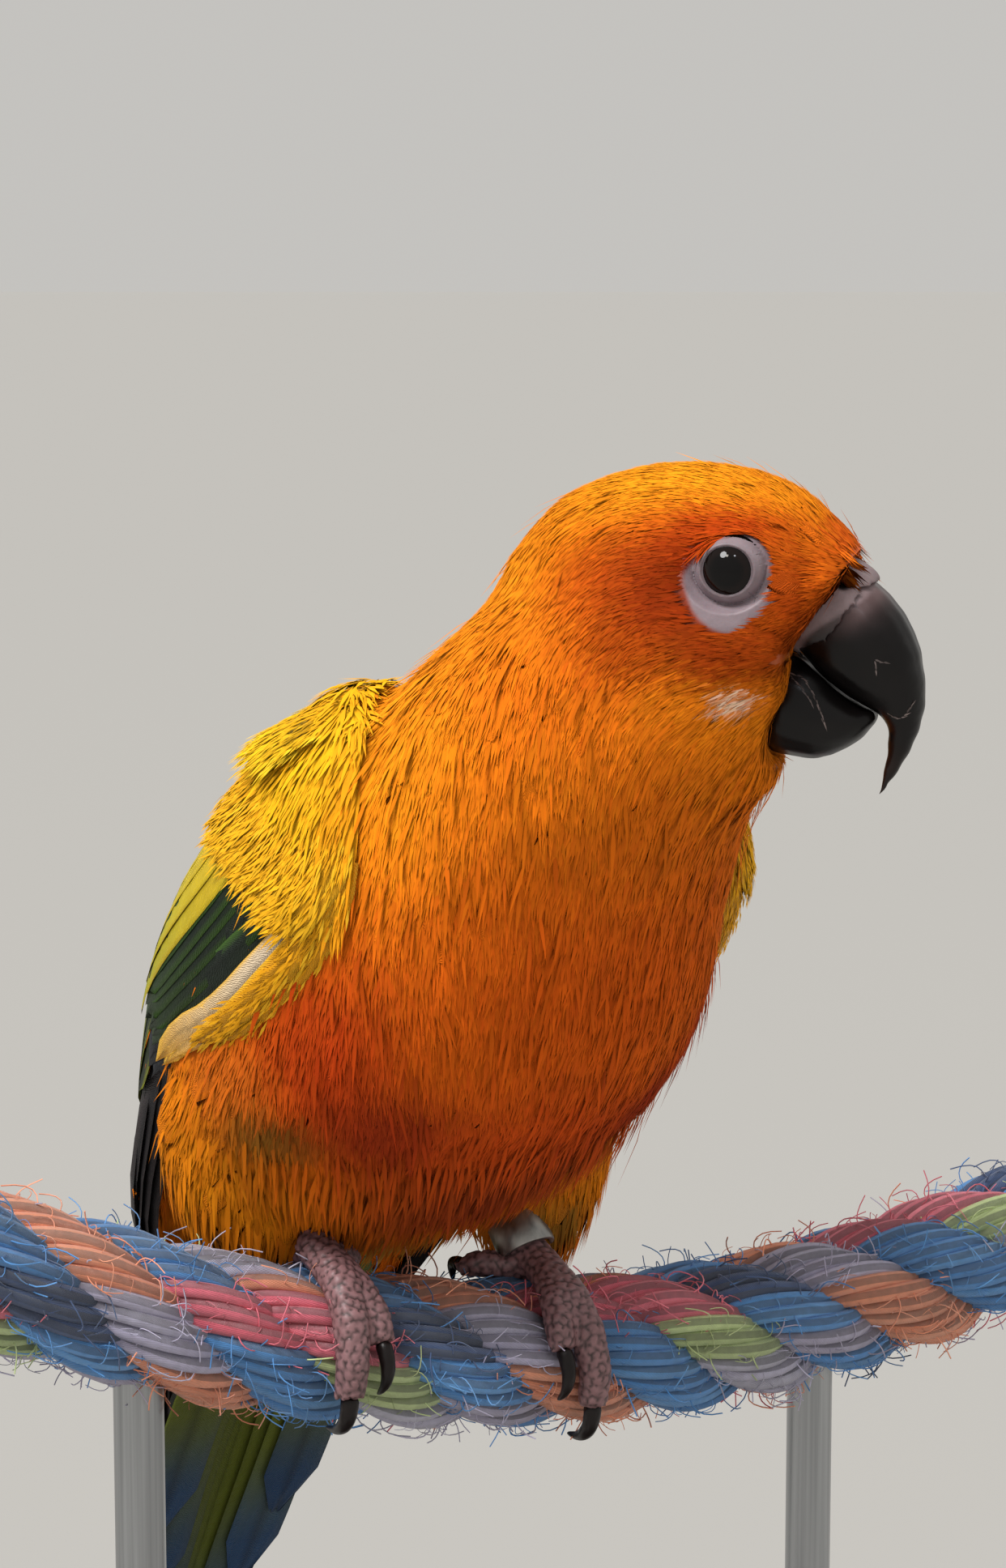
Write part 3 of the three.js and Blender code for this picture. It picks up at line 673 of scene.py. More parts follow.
@dataclass
class Skin:
    """The one skin of the bird, under the coat, with bare rings and lids at the eyes."""

    nodes: tuple = (
        "head", "neck", "trunk", "wing_right", "wing_left", "thigh_right", "thigh_left",
    )
    bridge: float = 0.32
    voxel: float = 1.15
    piece: bpy.types.Object | None = None
    points: Array | None = None
    faces: Array | None = None
    normals: Array | None = None
    unwrap: Array | None = None
    tree: BVHTree | None = None

    @staticmethod
    def ring_reach(face: Array) -> Array:
        """How far out of the bare ring a place is: 1 at its edge, less inside it."""
        forward, up = face[..., 1] - 1.0, face[..., 2] + 0.95
        back = np.where(forward < 0, 5.0 + 0.5 * np.exp(-((up - 1) ** 2) / 2.5), 5.1)
        return np.sqrt((forward / back) ** 2 + (up / 5.1) ** 2)

    def coat_depth(self, points: Array) -> Array:
        """How far under the outline the skin lies, in millimetres.

        The coat is thick on the body, thinner on the head and thinnest at its front and round the
        eyes. Under the large feathers of the wings the skin lies deeper, so that it stays hidden.

        Args:
            points: Places in the part's frame.

        Returns:
            The depth at each place.
        """
        face = to_head(points)
        head = np.exp(-(((face - np.array((0, -4, -6))) / np.array((20, 22, 20))) ** 2).sum(-1) ** 2)
        depth = 0.9 * (1 - head) + 0.5 * head
        front = smooth(-2, 6, face[..., 1]) * head
        depth = depth * (1 - front) + 0.4 * front
        ring = 1 - smooth(0.9, 1.3, self.ring_reach(face))
        beside = (np.abs(face[..., 0]) > 5) & (head > 0.3)
        ring = np.where(beside, ring, 0)
        winged = smooth(0.09, 0.15, WINGS_FIELD.run(points))
        return depth * (1 - ring) + 0.45 * ring + 1.7 * winged

    def build(self) -> None:
        """Joins the flesh, evens it, sets it in by the coat's depth and shapes the lids."""
        piece = joined_copy("skin", list(self.nodes) + ["eye_right", "eye_left"], self.bridge)
        remeshed(piece, self.voxel)
        self._refine(piece)
        points, faces = points_of(piece.data), corners_of(piece.data)
        face = to_head(points)
        away_from_eye = smooth(1.0, 1.6, self.ring_reach(face))
        far = (np.abs(face[:, 0]) < 6) | (np.abs(face[:, 1]) > 12) | (np.abs(face[:, 2]) > 12)
        mask = np.where(far, 1.0, away_from_eye)[:, None]
        for _ in range(12):
            points = points + 0.55 * mask * (neighbours_mean(points, faces) - points)
            points = points - 0.56 * mask * (neighbours_mean(points, faces) - points)
        normals = normals_at(points, faces)
        shell = BVHTree.FromPolygons(points.tolist(), faces.tolist())
        depth = self.coat_depth(points) + self.bridge
        for i in range(len(points)):
            inward = Vector(-normals[i])
            hit = shell.ray_cast(Vector(points[i]) + inward * 0.05, inward, 12)
            if hit[3] is not None:
                depth[i] = min(depth[i], hit[3] * 0.36)
        depth = relax(depth, faces, 12)
        points = points - normals * depth[:, None]
        points = self._shape_eyes(points)
        move_points(piece.data, points)
        self.piece, self.points, self.faces = piece, points, faces
        self.normals = normals_at(points, faces)
        self.tree = BVHTree.FromPolygons(points.tolist(), faces.tolist())
        self._unwrap()

    @staticmethod
    def _refine(piece: bpy.types.Object) -> None:
        """Cuts the mesh finer round the eyes."""
        work = bmesh.new()
        work.from_mesh(piece.data)
        for reach in (8.0, 6.4, 4.4):
            near = []
            for edge in work.edges:
                middle = to_head(to_bird(np.array((edge.verts[0].co + edge.verts[1].co) / 2)))
                if abs(middle[0]) > 6 and math.hypot(middle[1] - 0.4, middle[2] + 0.6) < reach:
                    near.append(edge)
            bmesh.ops.subdivide_edges(work, edges=near, cuts=1, use_grid_fill=True)
        bmesh.ops.triangulate(work, faces=work.faces)
        work.to_mesh(piece.data)
        work.free()
        piece.data.shade_smooth()

    def _shape_eyes(self, points: Array) -> Array:
        """Lays the lids over the eyeballs, with folds in the bare ring."""
        face = to_head(points)
        side, forward, up = face[:, 0], face[:, 1], face[:, 2]
        reach = eye_reach(face)
        near = (np.abs(side) > 7) & (reach < 7)
        ball = EYE_SIDE + np.sqrt(np.maximum(EYE_RADIUS**2 - reach**2, 0.0))
        rise = 0.40 * smooth(LID_OPENING, LID_OPENING + 0.5, reach) - 0.9 * smooth(LID_OPENING, 1.9, reach)
        rise = rise + 0.09 * np.exp(-(((reach - LID_OPENING - 0.42) / 0.22) ** 2))
        lid = ball + rise + 0.25 * (reach - LID_OPENING)
        blend = smooth(3.2, 5.2, reach)
        own = np.abs(side)
        angle = np.arctan2(up - EYE_UP, forward - EYE_FORWARD)
        fold = 0.15 * np.sin((reach - 2.6) * 2 * math.pi / 1.15) * smooth(2.9, 3.5, reach)
        fold *= (1 - smooth(4.2, 5.4, reach)) * (0.45 + 0.55 * smooth(0.3, -0.8, np.sin(angle)))
        shaped = lid * (1 - blend) + own * blend + fold
        shaped = np.where(reach < 3.9, np.maximum(shaped, lid), shaped)
        side = np.where(near, np.sign(side) * shaped, side)
        return np.where(near[:, None], from_head(np.stack([side, forward, up], -1)), points)

    def _unwrap(self) -> None:
        """Unwraps the skin's own shape, which gives each tuft its place for baking."""
        view = bpy.context.view_layer
        for other in bpy.context.selected_objects:
            other.select_set(False)
        view.objects.active = self.piece
        self.piece.select_set(True)
        self.piece.data.uv_layers.new(name=UV_MAP)
        bpy.ops.object.mode_set(mode="EDIT")
        bpy.ops.mesh.select_all(action="SELECT")
        bpy.ops.uv.smart_project(angle_limit=math.radians(70), island_margin=0.004)
        bpy.ops.object.mode_set(mode="OBJECT")
        raw = np.zeros(len(self.piece.data.loops) * 2)
        self.piece.data.uv_layers[UV_MAP].data.foreach_get("uv", raw)
        self.unwrap = raw.reshape(-1, 3, 2)

    def place_on_unwrap(self, face_numbers: Array, spots: Array) -> Array:
        """The unwrap's place for spots on given faces."""
        a, b, c = (self.points[self.faces[face_numbers, k]] for k in range(3))
        u, v, w = b - a, c - a, spots - a
        uu, uv, vv = (u * u).sum(1), (u * v).sum(1), (v * v).sum(1)
        wu, wv = (w * u).sum(1), (w * v).sum(1)
        below = np.maximum(uu * vv - uv * uv, 1e-12)
        s = np.clip((vv * wu - uv * wv) / below, 0, 1)[:, None]
        t = np.clip((uu * wv - uv * wu) / below, 0, 1)[:, None]
        corner = self.unwrap[face_numbers]
        return corner[:, 0] * (1 - s - t) + corner[:, 1] * s + corner[:, 2] * t

    def nearest(self, spots: Array) -> tuple:
        """The closest skin places, their normals and their faces."""
        found, numbers = np.zeros_like(spots), np.zeros(len(spots), int)
        for i, spot in enumerate(spots):
            place, _, number, _ = self.tree.find_nearest(spot.tolist())
            found[i] = place
            numbers[i] = number
        corner = self.faces[numbers]
        weights = []
        for k in range(3):
            weights.append(1 / (np.linalg.norm(self.points[corner[:, k]] - found, axis=1) + 0.05))
        total = sum(w[:, None] * self.normals[corner[:, k]] for k, w in enumerate(weights))
        return found, unit(total), numbers

    def dress(self, material: bpy.types.Material) -> None:
        """Paints the markings with their painted shade, and the bare rings, and settles the skin."""
        run = WINGS_FIELD.run(self.points + self.normals * 1.6)
        tints = MARKINGS_AND_SHADE(self.points, np.maximum(run, WINGS_FIELD.run(self.points))) * 0.95
        face = to_head(self.points)
        ring = 1 - smooth(0.98, 1.12, self.ring_reach(face))
        ring = np.where(np.abs(face[:, 0]) > 7, ring, 0)
        reach = eye_reach(face)
        bare = np.broadcast_to(colour("#8d7d83"), tints.shape).copy()
        rim = np.exp(-(((reach - LID_OPENING - 0.1) / 0.35) ** 2))[:, None]
        bare = bare * (1 - 0.75 * rim) + colour("#4a3c40") * 0.75 * rim
        under = np.exp(-(((reach - 3.75) / 0.3) ** 2))
        under = under * smooth(0.3, -0.6, face[:, 2] / np.maximum(reach, 0.1))
        bare = bare * (1 - 0.4 * under[:, None]) + colour("#6a5860") * 0.4 * under[:, None]
        tints = tints * (1 - ring[:, None]) + bare * ring[:, None]
        paint(self.piece, tints)
        self.piece.data.materials.clear()
        self.piece.data.materials.append(material)
        settle(self.piece, "bare_skin", *self.nodes)


# Feathers


@dataclass
class VaneGrid:
    """A closed thin vane of rows along the shaft and columns across it."""

    rows: int
    columns: int
    across: Array = field(init=False)
    faces: Array = field(init=False)
    count: int = field(init=False)

    def __post_init__(self) -> None:
        """Works out the corner numbers of one vane."""
        r, c = self.rows, self.columns
        self.across = np.linspace(-1, 1, c)
        top = np.arange(r * c).reshape(r, c)
        under = top.copy()
        under[1:-1, 1:-1] = r * c + np.arange((r - 2) * (c - 2)).reshape(r - 2, c - 2)
        self.count = r * c + (r - 2) * (c - 2)
        faces = []
        for i in range(r - 1):
            for k in range(c - 1):
                for sheet, flip in ((top, False), (under, True)):
                    w, x = sheet[i, k], sheet[i, k + 1]
                    y, z = sheet[i + 1, k + 1], sheet[i + 1, k]
                    faces += [(w, y, x), (w, z, y)] if flip else [(w, x, y), (w, y, z)]
        self.faces = np.array(faces)


def build_vanes(
    name: str,
    grid: VaneGrid,
    middles: Array,
    sides: Array,
    ups: Array,
    widths: Array,
    tints: Array,
    roots: Array,
    cup: float = 0.25,
    thickness: float = 0.16,
    ragged: float = 0.1,
    soft: float = 0.0,
    seed: int = 1,
) -> bpy.types.Object:
    """Joins many vanes into one piece.

    Args:
        name: The piece's name.
        grid: Rows and columns of each vane.
        middles: Shaft points, by vane and row, in bird millimetres.
        sides: Unit vectors across the vane, by vane and row.
        ups: Unit vectors off the body, by vane and row.
        widths: Half widths, by vane and row.
        tints: Linear colours, by vane, row and column.
        roots: Each vane's place on the skin's unwrap.
        cup: How far the edges curl down, as a share of the half width.
        thickness: Thickness at the shaft, in millimetres.
        ragged: How uneven the tip is, as a share of the length.
        soft: How far the shading normals lean to the body's own, 0 to 1.
        seed: Seed of the unevenness.
    Returns:
        The piece with its tint and maps.
    """
    rng = np.random.default_rng(seed)
    number = len(middles)
    across = grid.across[None, None, :, None]
    wide = widths[:, :, None, None]
    points = middles[:, :, None, :] + sides[:, :, None, :] * across * wide
    points = points - ups[:, :, None, :] * cup * wide * across**2
    length = np.linalg.norm(middles[:, -1] - middles[:, 0], axis=1)
    along = np.gradient(middles, axis=1)
    along = unit(along)
    late = np.linspace(0, 1, grid.rows) ** 4
    shift = rng.uniform(-1, 1, (number, 1, grid.columns)) * late[None, :, None] * ragged
    points = points + along[:, :, None, :] * (shift * length[:, None, None])[..., None]
    inner = points[:, 1:-1, 1:-1, :] - (
        ups[:, 1:-1, None, :] * thickness * (1 - grid.across[None, None, 1:-1, None] ** 2)
    )
    vertices = np.concatenate([points.reshape(number, -1, 3), inner.reshape(number, -1, 3)], axis=1)
    shades = np.concatenate(
        [tints.reshape(number, -1, 3), tints[:, 1:-1, 1:-1, :].reshape(number, -1, 3)], axis=1
    )
    faces = (grid.faces[None] + np.arange(number)[:, None, None] * grid.count).reshape(-1, 3)
    piece = new_piece(name, vertices.reshape(-1, 3), faces)
    paint(piece, np.clip(shades.reshape(-1, 3), 0, 1))
    if soft:
        lean = np.broadcast_to(ups[:, :, None, :], points.shape) + 0.35 * sides[:, :, None, :] * across
        both = (lean, lean[:, 1:-1, 1:-1])
        lean = np.concatenate([part.reshape(number, -1, 3) for part in both], axis=1)
        own = normals_at(vertices.reshape(-1, 3), faces)
        set_normals(piece, unit(own * (1 - soft) + unit(lean.reshape(-1, 3)) * soft))
    step = np.linalg.norm(np.diff(middles, axis=1), axis=2)
    run = np.concatenate([np.zeros((number, 1)), np.cumsum(step, axis=1)], axis=1)
    whole = (number, grid.rows, grid.columns)
    place_u = np.broadcast_to(grid.across[None, None, :] * widths[:, :, None], whole)
    place_v = np.broadcast_to(run[:, :, None], place_u.shape) + rng.uniform(0, 9, (number, 1, 1))
    vane = np.stack([place_u, place_v], -1)
    vane = np.concatenate([vane.reshape(number, -1, 2), vane[:, 1:-1, 1:-1].reshape(number, -1, 2)], axis=1)
    share = np.stack(
        [
            np.broadcast_to(grid.across[None, None, :] / 2, place_u.shape),
            np.broadcast_to(np.linspace(-0.5, 0.5, grid.rows)[None, :, None], place_u.shape),
        ],
        -1,
    )
    both = (share, share[:, 1:-1, 1:-1])
    share = np.concatenate([part.reshape(number, -1, 2) for part in both], axis=1)
    bake = roots[:, None, :] + share * TUFT_PATCH
    map_corners(piece, UV_MAP, bake.reshape(-1, 2))
    map_corners(piece, VANE_MAP, vane.reshape(-1, 2))
    return piece


BLADE_FACES = np.array(((0, 3, 1), (0, 2, 3), (1, 3, 4), (3, 2, 4), (0, 1, 2), (1, 4, 2)))


def build_blades(
    name: str, roots: Array, ends: Array, ups: Array, widths: Array, leans: Array, tints: Array, places: Array
) -> bpy.types.Object:
    """Joins many thin pointed blades into one piece, each a closed sliver with a low ridge.

    Args:
        name: The piece's name.
        roots: Where the blades start, in bird millimetres.
        ends: Where they end.
        ups: Unit vectors off the body.
        widths: Full widths.
        leans: Shading normals, by blade.
        tints: Linear colours, by blade.
        places: Each root's place on the skin's unwrap.
    Returns:
        The piece.
    """
    length = np.linalg.norm(ends - roots, axis=1)
    middle = roots * 0.55 + ends * 0.45 + ups * (0.035 * length)[:, None]
    side = unit(np.cross(ends - roots, ups)) * (widths / 2)[:, None]
    ridge = middle + ups * (0.16 * widths)[:, None]
    points = np.stack([roots, middle - side, middle + side, ridge, ends], 1)
    count = len(roots)
    corner = (BLADE_FACES[None] + np.arange(count)[:, None, None] * 5).reshape(-1, 3)
    piece = new_piece(name, points.reshape(-1, 3), corner)
    # Each blade is darker at its root and lighter on its ridge and towards its tip: painted shade under the blades
    # that cover the root, painted light on the top and the free end.
    shades = tints[:, None, :] * np.array((0.92, 1.0, 1.0, 1.02, 1.08))[None, :, None]
    paint(piece, np.clip(shades.reshape(-1, 3), 0, 1))
    patch = np.array(((0, -0.5), (0.2, 0), (-0.2, 0), (0, 0), (0, 0.5))) * TUFT_PATCH
    map_corners(piece, UV_MAP, (places[:, None, :] + patch[None]).reshape(-1, 2))
    set_normals(piece, np.repeat(unit(leans), 5, axis=0))
    return piece


def body_flow(points: Array) -> Array:
    """The lie of the coat: back from the bill, down the breast, along the back and down the legs."""
    face = to_head(points)
    from_bill = points - from_head(np.array((0.0, 15.5, -9.0)))
    head = np.exp(-(((face - np.array((0, -2, -5))) / np.array((20, 18, 20))) ** 2).sum(-1) ** 2)[:, None]
    body = np.broadcast_to(np.array((0.0, 0.46, -0.89)), points.shape)
    breast = smooth(0, -30, points[:, 1])[:, None]
    body = body * (1 - breast) + np.array((0.0, 0.1, -1.0)) * breast
    leg_away = (np.abs(points[:, 0:1]) - 20) ** 2 / 90 + (points[:, 1:2] - 7) ** 2 / 160
    leg = np.exp(-leg_away) * smooth(36, 26, points[:, 2])[:, None]
    body = body * (1 - leg) + np.array((0.0, -0.1, -1.0)) * leg
    return unit(body * (1 - head) + unit(from_bill) * head)


@dataclass(frozen=True)
class TuftPlan:
    """One kind of small feather and where it grows."""

    name: str
    spacing: float
    length: float
    width: float
    lift: float
    rows: int
    columns: int
    grows: Callable[[Array, Array], Array]
    ragged: float = 0.14
    slot: str = "feathers_orange"
    # How much lighter the tip is than the root: partly the paler fringe of each feather, partly painted light on the
    # lifted tip and painted shade at the covered root.
    edge: float = 1.12


def near_head(points: Array) -> Array:
    """1 well within the head, 0 on the body."""
    face = to_head(points)
    return np.exp(-(((face - np.array((0, -7, -5))) / np.array((19.5, 21, 19.5))) ** 2).sum(-1) ** 4)


@dataclass
class WingShape:
    """The folded wing's outer surface by run, 0 at the shoulder to 1 at the tip, and by arc."""

    side: Side
    at: tuple = (
        (0, -26, 80), (0, -19, 68), (0, -9, 54), (0, 3, 40), (0, 15, 26),
        (0, 27, 11), (0, 38, -6), (0, 49, -23), (0, 60, -42),
    )
    half_side: tuple = (24.5, 32.5, 36, 35.5, 32.5, 28, 19, 13, 8.5)
    half_up: tuple = (20, 26, 27.5, 26, 22, 16, 11, 7.5, 5)
    start: tuple = (5, -24, -20, -5, 8, 10, 12, 14, 30)
    end: tuple = (48, 58, 68, 76, 82, 84, 84, 82, 70)
    core: tuple = (0.8, 0.72, 0.72, 0.72, 0.72, 0.78, 0.8, 0.76, 0.76)
    oval_power: float = 0.87
    edge_power: float = 0.42

    @staticmethod
    def _value(row: Array, t: Array) -> Array:
        """A smooth value between the stations."""
        place = np.clip(t, 0, 1) * (len(row) - 1)
        i = np.minimum(np.floor(place).astype(int), len(row) - 2)
        u = place - i
        before, after = row[np.maximum(i - 1, 0)], row[np.minimum(i + 2, len(row) - 1)]
        start, end = (row[i + 1] - before) / 2, (after - row[i]) / 2
        first = (2 * u**3 - 3 * u**2 + 1) * row[i] + (u**3 - 2 * u**2 + u) * start
        return first + (3 * u**2 - 2 * u**3) * row[i + 1] + (u**3 - u**2) * end

    def surface(self, t: Array, u: Array, sink: Array | float = 0.0) -> Array:
        """Places on the wing.

        Args:
            t: Run along the wing, 0 to 1.
            u: Arc across it, 0 at the lower front edge to 1 over the back.
            sink: Depth under the surface in millimetres.
        Returns:
            Places in bird millimetres.
        """
        t, u = np.broadcast_arrays(np.asarray(t, float), np.asarray(u, float))
        centre = np.stack([self._value(np.array([p[k] for p in self.at], float), t) for k in range(3)], -1)
        ahead = np.stack(
            [self._value(np.array([p[k] for p in self.at], float), t + 0.01) for k in range(3)], -1
        )
        behind = np.stack(
            [self._value(np.array([p[k] for p in self.at], float), t - 0.01) for k in range(3)], -1
        )
        along = unit(ahead - behind)
        up = unit(np.cross(along, np.array((-1.0, 0, 0))))
        opening = 4.5 if self.side is Side.LEFT else 0.0
        sign = self.side.value
        centre = centre + np.array((sign, 0, 0)) * (opening * np.sin(math.pi * np.clip(t, 0, 1)))[..., None]
        low = np.radians(self._value(np.array(self.start, float), t))
        high = np.radians(self._value(np.array(self.end, float), t))
        core = self._value(np.array(self.core, float), t)
        angle = low + (high - low) * u
        swell = np.sin(math.pi * (0.04 + 0.92 * np.clip(u, 0, 1))) ** self.edge_power
        share = core + (1 - core) * swell
        across = np.abs(np.cos(angle)) ** self.oval_power * self._value(np.array(self.half_side, float), t)
        rise = np.sign(angle) * np.abs(np.sin(angle)) ** self.oval_power
        rise = rise * self._value(np.array(self.half_up, float), t)
        across, rise = across * share - sink * np.cos(angle), rise * share - sink * np.sin(angle)
        return centre + np.array((sign, 0, 0)) * across[..., None] + up * rise[..., None]


class WingField:
    """Tells which places lie on a folded wing's outer side."""

    def __init__(self) -> None:
        """Samples both wings' surfaces."""
        t, u = np.meshgrid(np.linspace(0.0, 1.0, 60), np.linspace(0, 1, 24), indexing="ij")
        self.spots = []
        for side in Side:
            self.spots.append(WingShape(side).surface(t, u).reshape(-1, 3))
        whole = np.concatenate(self.spots)
        self.params = np.concatenate([np.stack([t.ravel(), u.ravel()], -1)] * 2)
        self.tree = KDTree(len(whole))
        for i, spot in enumerate(whole):
            self.tree.insert(spot.tolist(), i)
        self.tree.balance()

    def find(self, points: Array) -> tuple:
        """The wing's run and arc nearest each point, and the distance."""
        places, gaps = np.zeros((len(points), 2)), np.zeros(len(points))
        for i, point in enumerate(points):
            _, number, gap = self.tree.find(point.tolist())
            places[i], gaps[i] = self.params[number], gap
        return places, gaps

    def run(self, points: Array) -> Array:
        """How far along a wing each place is, or -1 off the wings and where the flank overlaps them."""
        places, gaps = self.find(points)
        t, u = places[:, 0], places[:, 1]
        lap = np.where(points[:, 0] < 0, 0.09, 0.0)
        on = (gaps < 3.0) & ~((t > 0.14) & (t < 0.42) & (u < lap)) & ~((t <= 0.14) & (u < 0.03))
        return np.where(on, t, -1.0)


WINGS_FIELD = WingField()


@dataclass
class Coat:
    """The small feathers: soft vanes laid over the skin, and the fine barbs that fringe them."""

    skin: Skin
    seed: int = 7
    candidates: int = 150000
    centres: list = field(default_factory=list)
    solids: tuple = ("bill_upper", "bill_lower", "cere", "foot_right", "foot_left", "leg_band")

    def scatter(
        self, number: int, density: Callable[[Array], Array] | None = None, margin: float = 1.04
    ) -> tuple:
        """Random places over the whole skin.

        Args:
            number: How many places.
            density: Relative density at given places, or None for an even spread.
            margin: How far off the bare rings they keep, as a share of the ring.
        Returns:
            The places, their normals and their faces.
        """
        rng = np.random.default_rng(self.seed + number)
        a, b, c = (self.skin.points[self.skin.faces[:, k]] for k in range(3))
        area = np.linalg.norm(np.cross(b - a, c - a), axis=1)
        if density is not None:
            area = area * density((a + b + c) / 3)
        numbers = rng.choice(len(area), number, p=area / area.sum())
        s, t = rng.random((2, number, 1))
        over = (s + t) > 1
        s, t = np.where(over, 1 - s, s), np.where(over, 1 - t, t)
        spots = a[numbers] + (b - a)[numbers] * s + (c - a)[numbers] * t
        corner = self.skin.faces[numbers]
        normals = (
            self.skin.normals[corner[:, 0]] * (1 - s - t)
            + self.skin.normals[corner[:, 1]] * s
            + self.skin.normals[corner[:, 2]] * t
        )
        free = self._free(spots, margin)
        return spots[free], unit(normals)[free], numbers[free]

    def _free(self, spots: Array, margin: float) -> Array:
        """True where feathers may grow: off the bare rings, the bill, the cere and the feet."""
        face = to_head(spots)
        bare = (self.skin.ring_reach(face) < margin) & (np.abs(face[:, 0]) > 7)
        cut = (before_face(face) > -0.3) & (face[:, 2] > -9.5) & (face[:, 1] > 4)
        cut &= (face[:, 2] < -0.2) | (np.abs(face[:, 0]) > 5.5)
        free = ~(bare | cut)
        for node in self.solids:
            low, high = (np.array(c) / MM - BIRD_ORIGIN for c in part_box(node))
            close = np.nonzero(((spots > low - 0.6) & (spots < high + 0.6)).all(1) & free)[0]
            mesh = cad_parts[node].data
            solid = BVHTree.FromPolygons(points_of(mesh).tolist(), corners_of(mesh).tolist())
            for i in close:
                place, normal, _, gap = solid.find_nearest(spots[i].tolist())
                if gap < 0.25 or (Vector(spots[i]) - place).dot(normal) < 0:
                    free[i] = False
        return free

    @staticmethod
    def thinned(spots: Array, spacing: float) -> Array:
        """Numbers of spots that keep the spacing between them."""
        cell = spacing / math.sqrt(3)
        taken: dict = {}
        keys = np.floor(spots / cell).astype(int)
        kept = []
        reach = (-2, -1, 0, 1, 2)
        near = [(i, j, k) for i in reach for j in reach for k in reach]
        limit = spacing**2
        places = spots.tolist()
        for i, key in enumerate(keys.tolist()):
            x, y, z = places[i]
            clear = True
            for dx, dy, dz in near:
                other = taken.get((key[0] + dx, key[1] + dy, key[2] + dz))
                if other is not None:
                    ox, oy, oz = other
                    if (x - ox) ** 2 + (y - oy) ** 2 + (z - oz) ** 2 < limit:
                        clear = False
                        break
            if clear:
                taken[tuple(key)] = (x, y, z)
                kept.append(i)
        return np.array(kept, int)

    def build(self, plans: list, material: bpy.types.Material) -> None:
        """Grows every kind of vane.

        Args:
            plans: The kinds of vane.
            material: The feather material.
        """
        spots, normals, numbers = self.scatter(self.candidates, margin=1.45)
        winged = WINGS_FIELD.run(spots)
        for plan in plans:
            chosen = np.nonzero(plan.grows(spots, winged))[0]
            chosen = chosen[self.thinned(spots[chosen], plan.spacing)]
            self._grow(plan, spots[chosen], normals[chosen], numbers[chosen], material)

    def _grow(
        self, plan: TuftPlan, spots: Array, normals: Array, numbers: Array, material: bpy.types.Material
    ) -> None:
        """Lays one kind of vane over the skin."""
        rng = np.random.default_rng(self.seed + int(plan.spacing * 100))
        count = len(spots)
        size = rng.uniform(0.85, 1.18, count)
        flow = body_flow(spots) + rng.normal(0, 0.06, (count, 3))
        here, up = spots.copy(), normals.copy()
        middles, sides, ups = [], [], []
        step = plan.length / (plan.rows - 1)
        sound = np.ones(count, bool)
        for row in range(plan.rows):
            ahead = unit(flow - up * (flow * up).sum(1, keepdims=True))
            share = row / (plan.rows - 1)
            raise_by = plan.lift * (0.12 + 0.88 * share**0.8) * size
            middles.append(here + up * raise_by[:, None] - (0.15 * (1 - share)) * up)
            sides.append(unit(np.cross(ahead, up)))
            ups.append(up)
            here = here + ahead * (step * size)[:, None]
            if row < plan.rows - 1:
                found, after, _ = self.skin.nearest(here)
                sound &= (np.linalg.norm(found - here, axis=1) < 1.6) & ((after * up).sum(1) > 0.55)
                here, up = found, unit(after + up * 0.5)
                flow = body_flow(here) * 0.6 + flow * 0.4
        middles, sides, ups = (np.stack(x, 1)[sound] for x in (middles, sides, ups))
        size, spots, numbers, count = size[sound], spots[sound], numbers[sound], int(sound.sum())
        self.centres.append((middles[:, plan.rows // 2], np.full(count, plan.spacing)))
        t = np.linspace(0, 1, plan.rows)
        outline = (0.35 + 0.65 * np.sin(math.pi * np.clip(t * 0.62 + 0.12, 0, 1))) * (1 - t**5 * 0.62)
        widths = plan.width / 2 * outline[None, :] * size[:, None]
        grid = VaneGrid(plan.rows, plan.columns)
        across = middles[:, :, None, :] + sides[:, :, None, :] * (
            grid.across[None, None, :, None] * widths[:, :, None, None]
        )
        run = WINGS_FIELD.run(spots) if plan.slot == "feathers_yellow" else np.full(count, -1.0)
        anchor = MARKINGS_AND_SHADE(middles[:, min(2, plan.rows - 1)], run)[:, None, None, :]
        spread = np.broadcast_to(run[:, None, None], across.shape[:3])
        tints = MARKINGS_AND_SHADE(across, spread) * 0.6 + anchor * 0.4
        tints = tints * rng.normal(1.0, 0.05, (count, 1, 1, 1))
        tints[..., 1] *= 1 + rng.normal(0, 0.04, (count, 1, 1))
        # Each vane darkens towards its root and lightens towards its tip: painted shade where the feather above
        # covers the root, painted light on the tip, and partly the feather's own paler fringe.
        tints *= (0.93 + (plan.edge - 0.93) * t**1.6)[None, :, None, None]
        roots = self.skin.place_on_unwrap(numbers, spots)
        piece = build_vanes(
            plan.name, grid, middles, sides, ups, widths, tints, roots,
            cup=0.06, thickness=0.08, ragged=plan.ragged * 0.5, soft=0.85, seed=self.seed,
        )
        piece.data.materials.append(material)
        settle(piece, plan.slot)


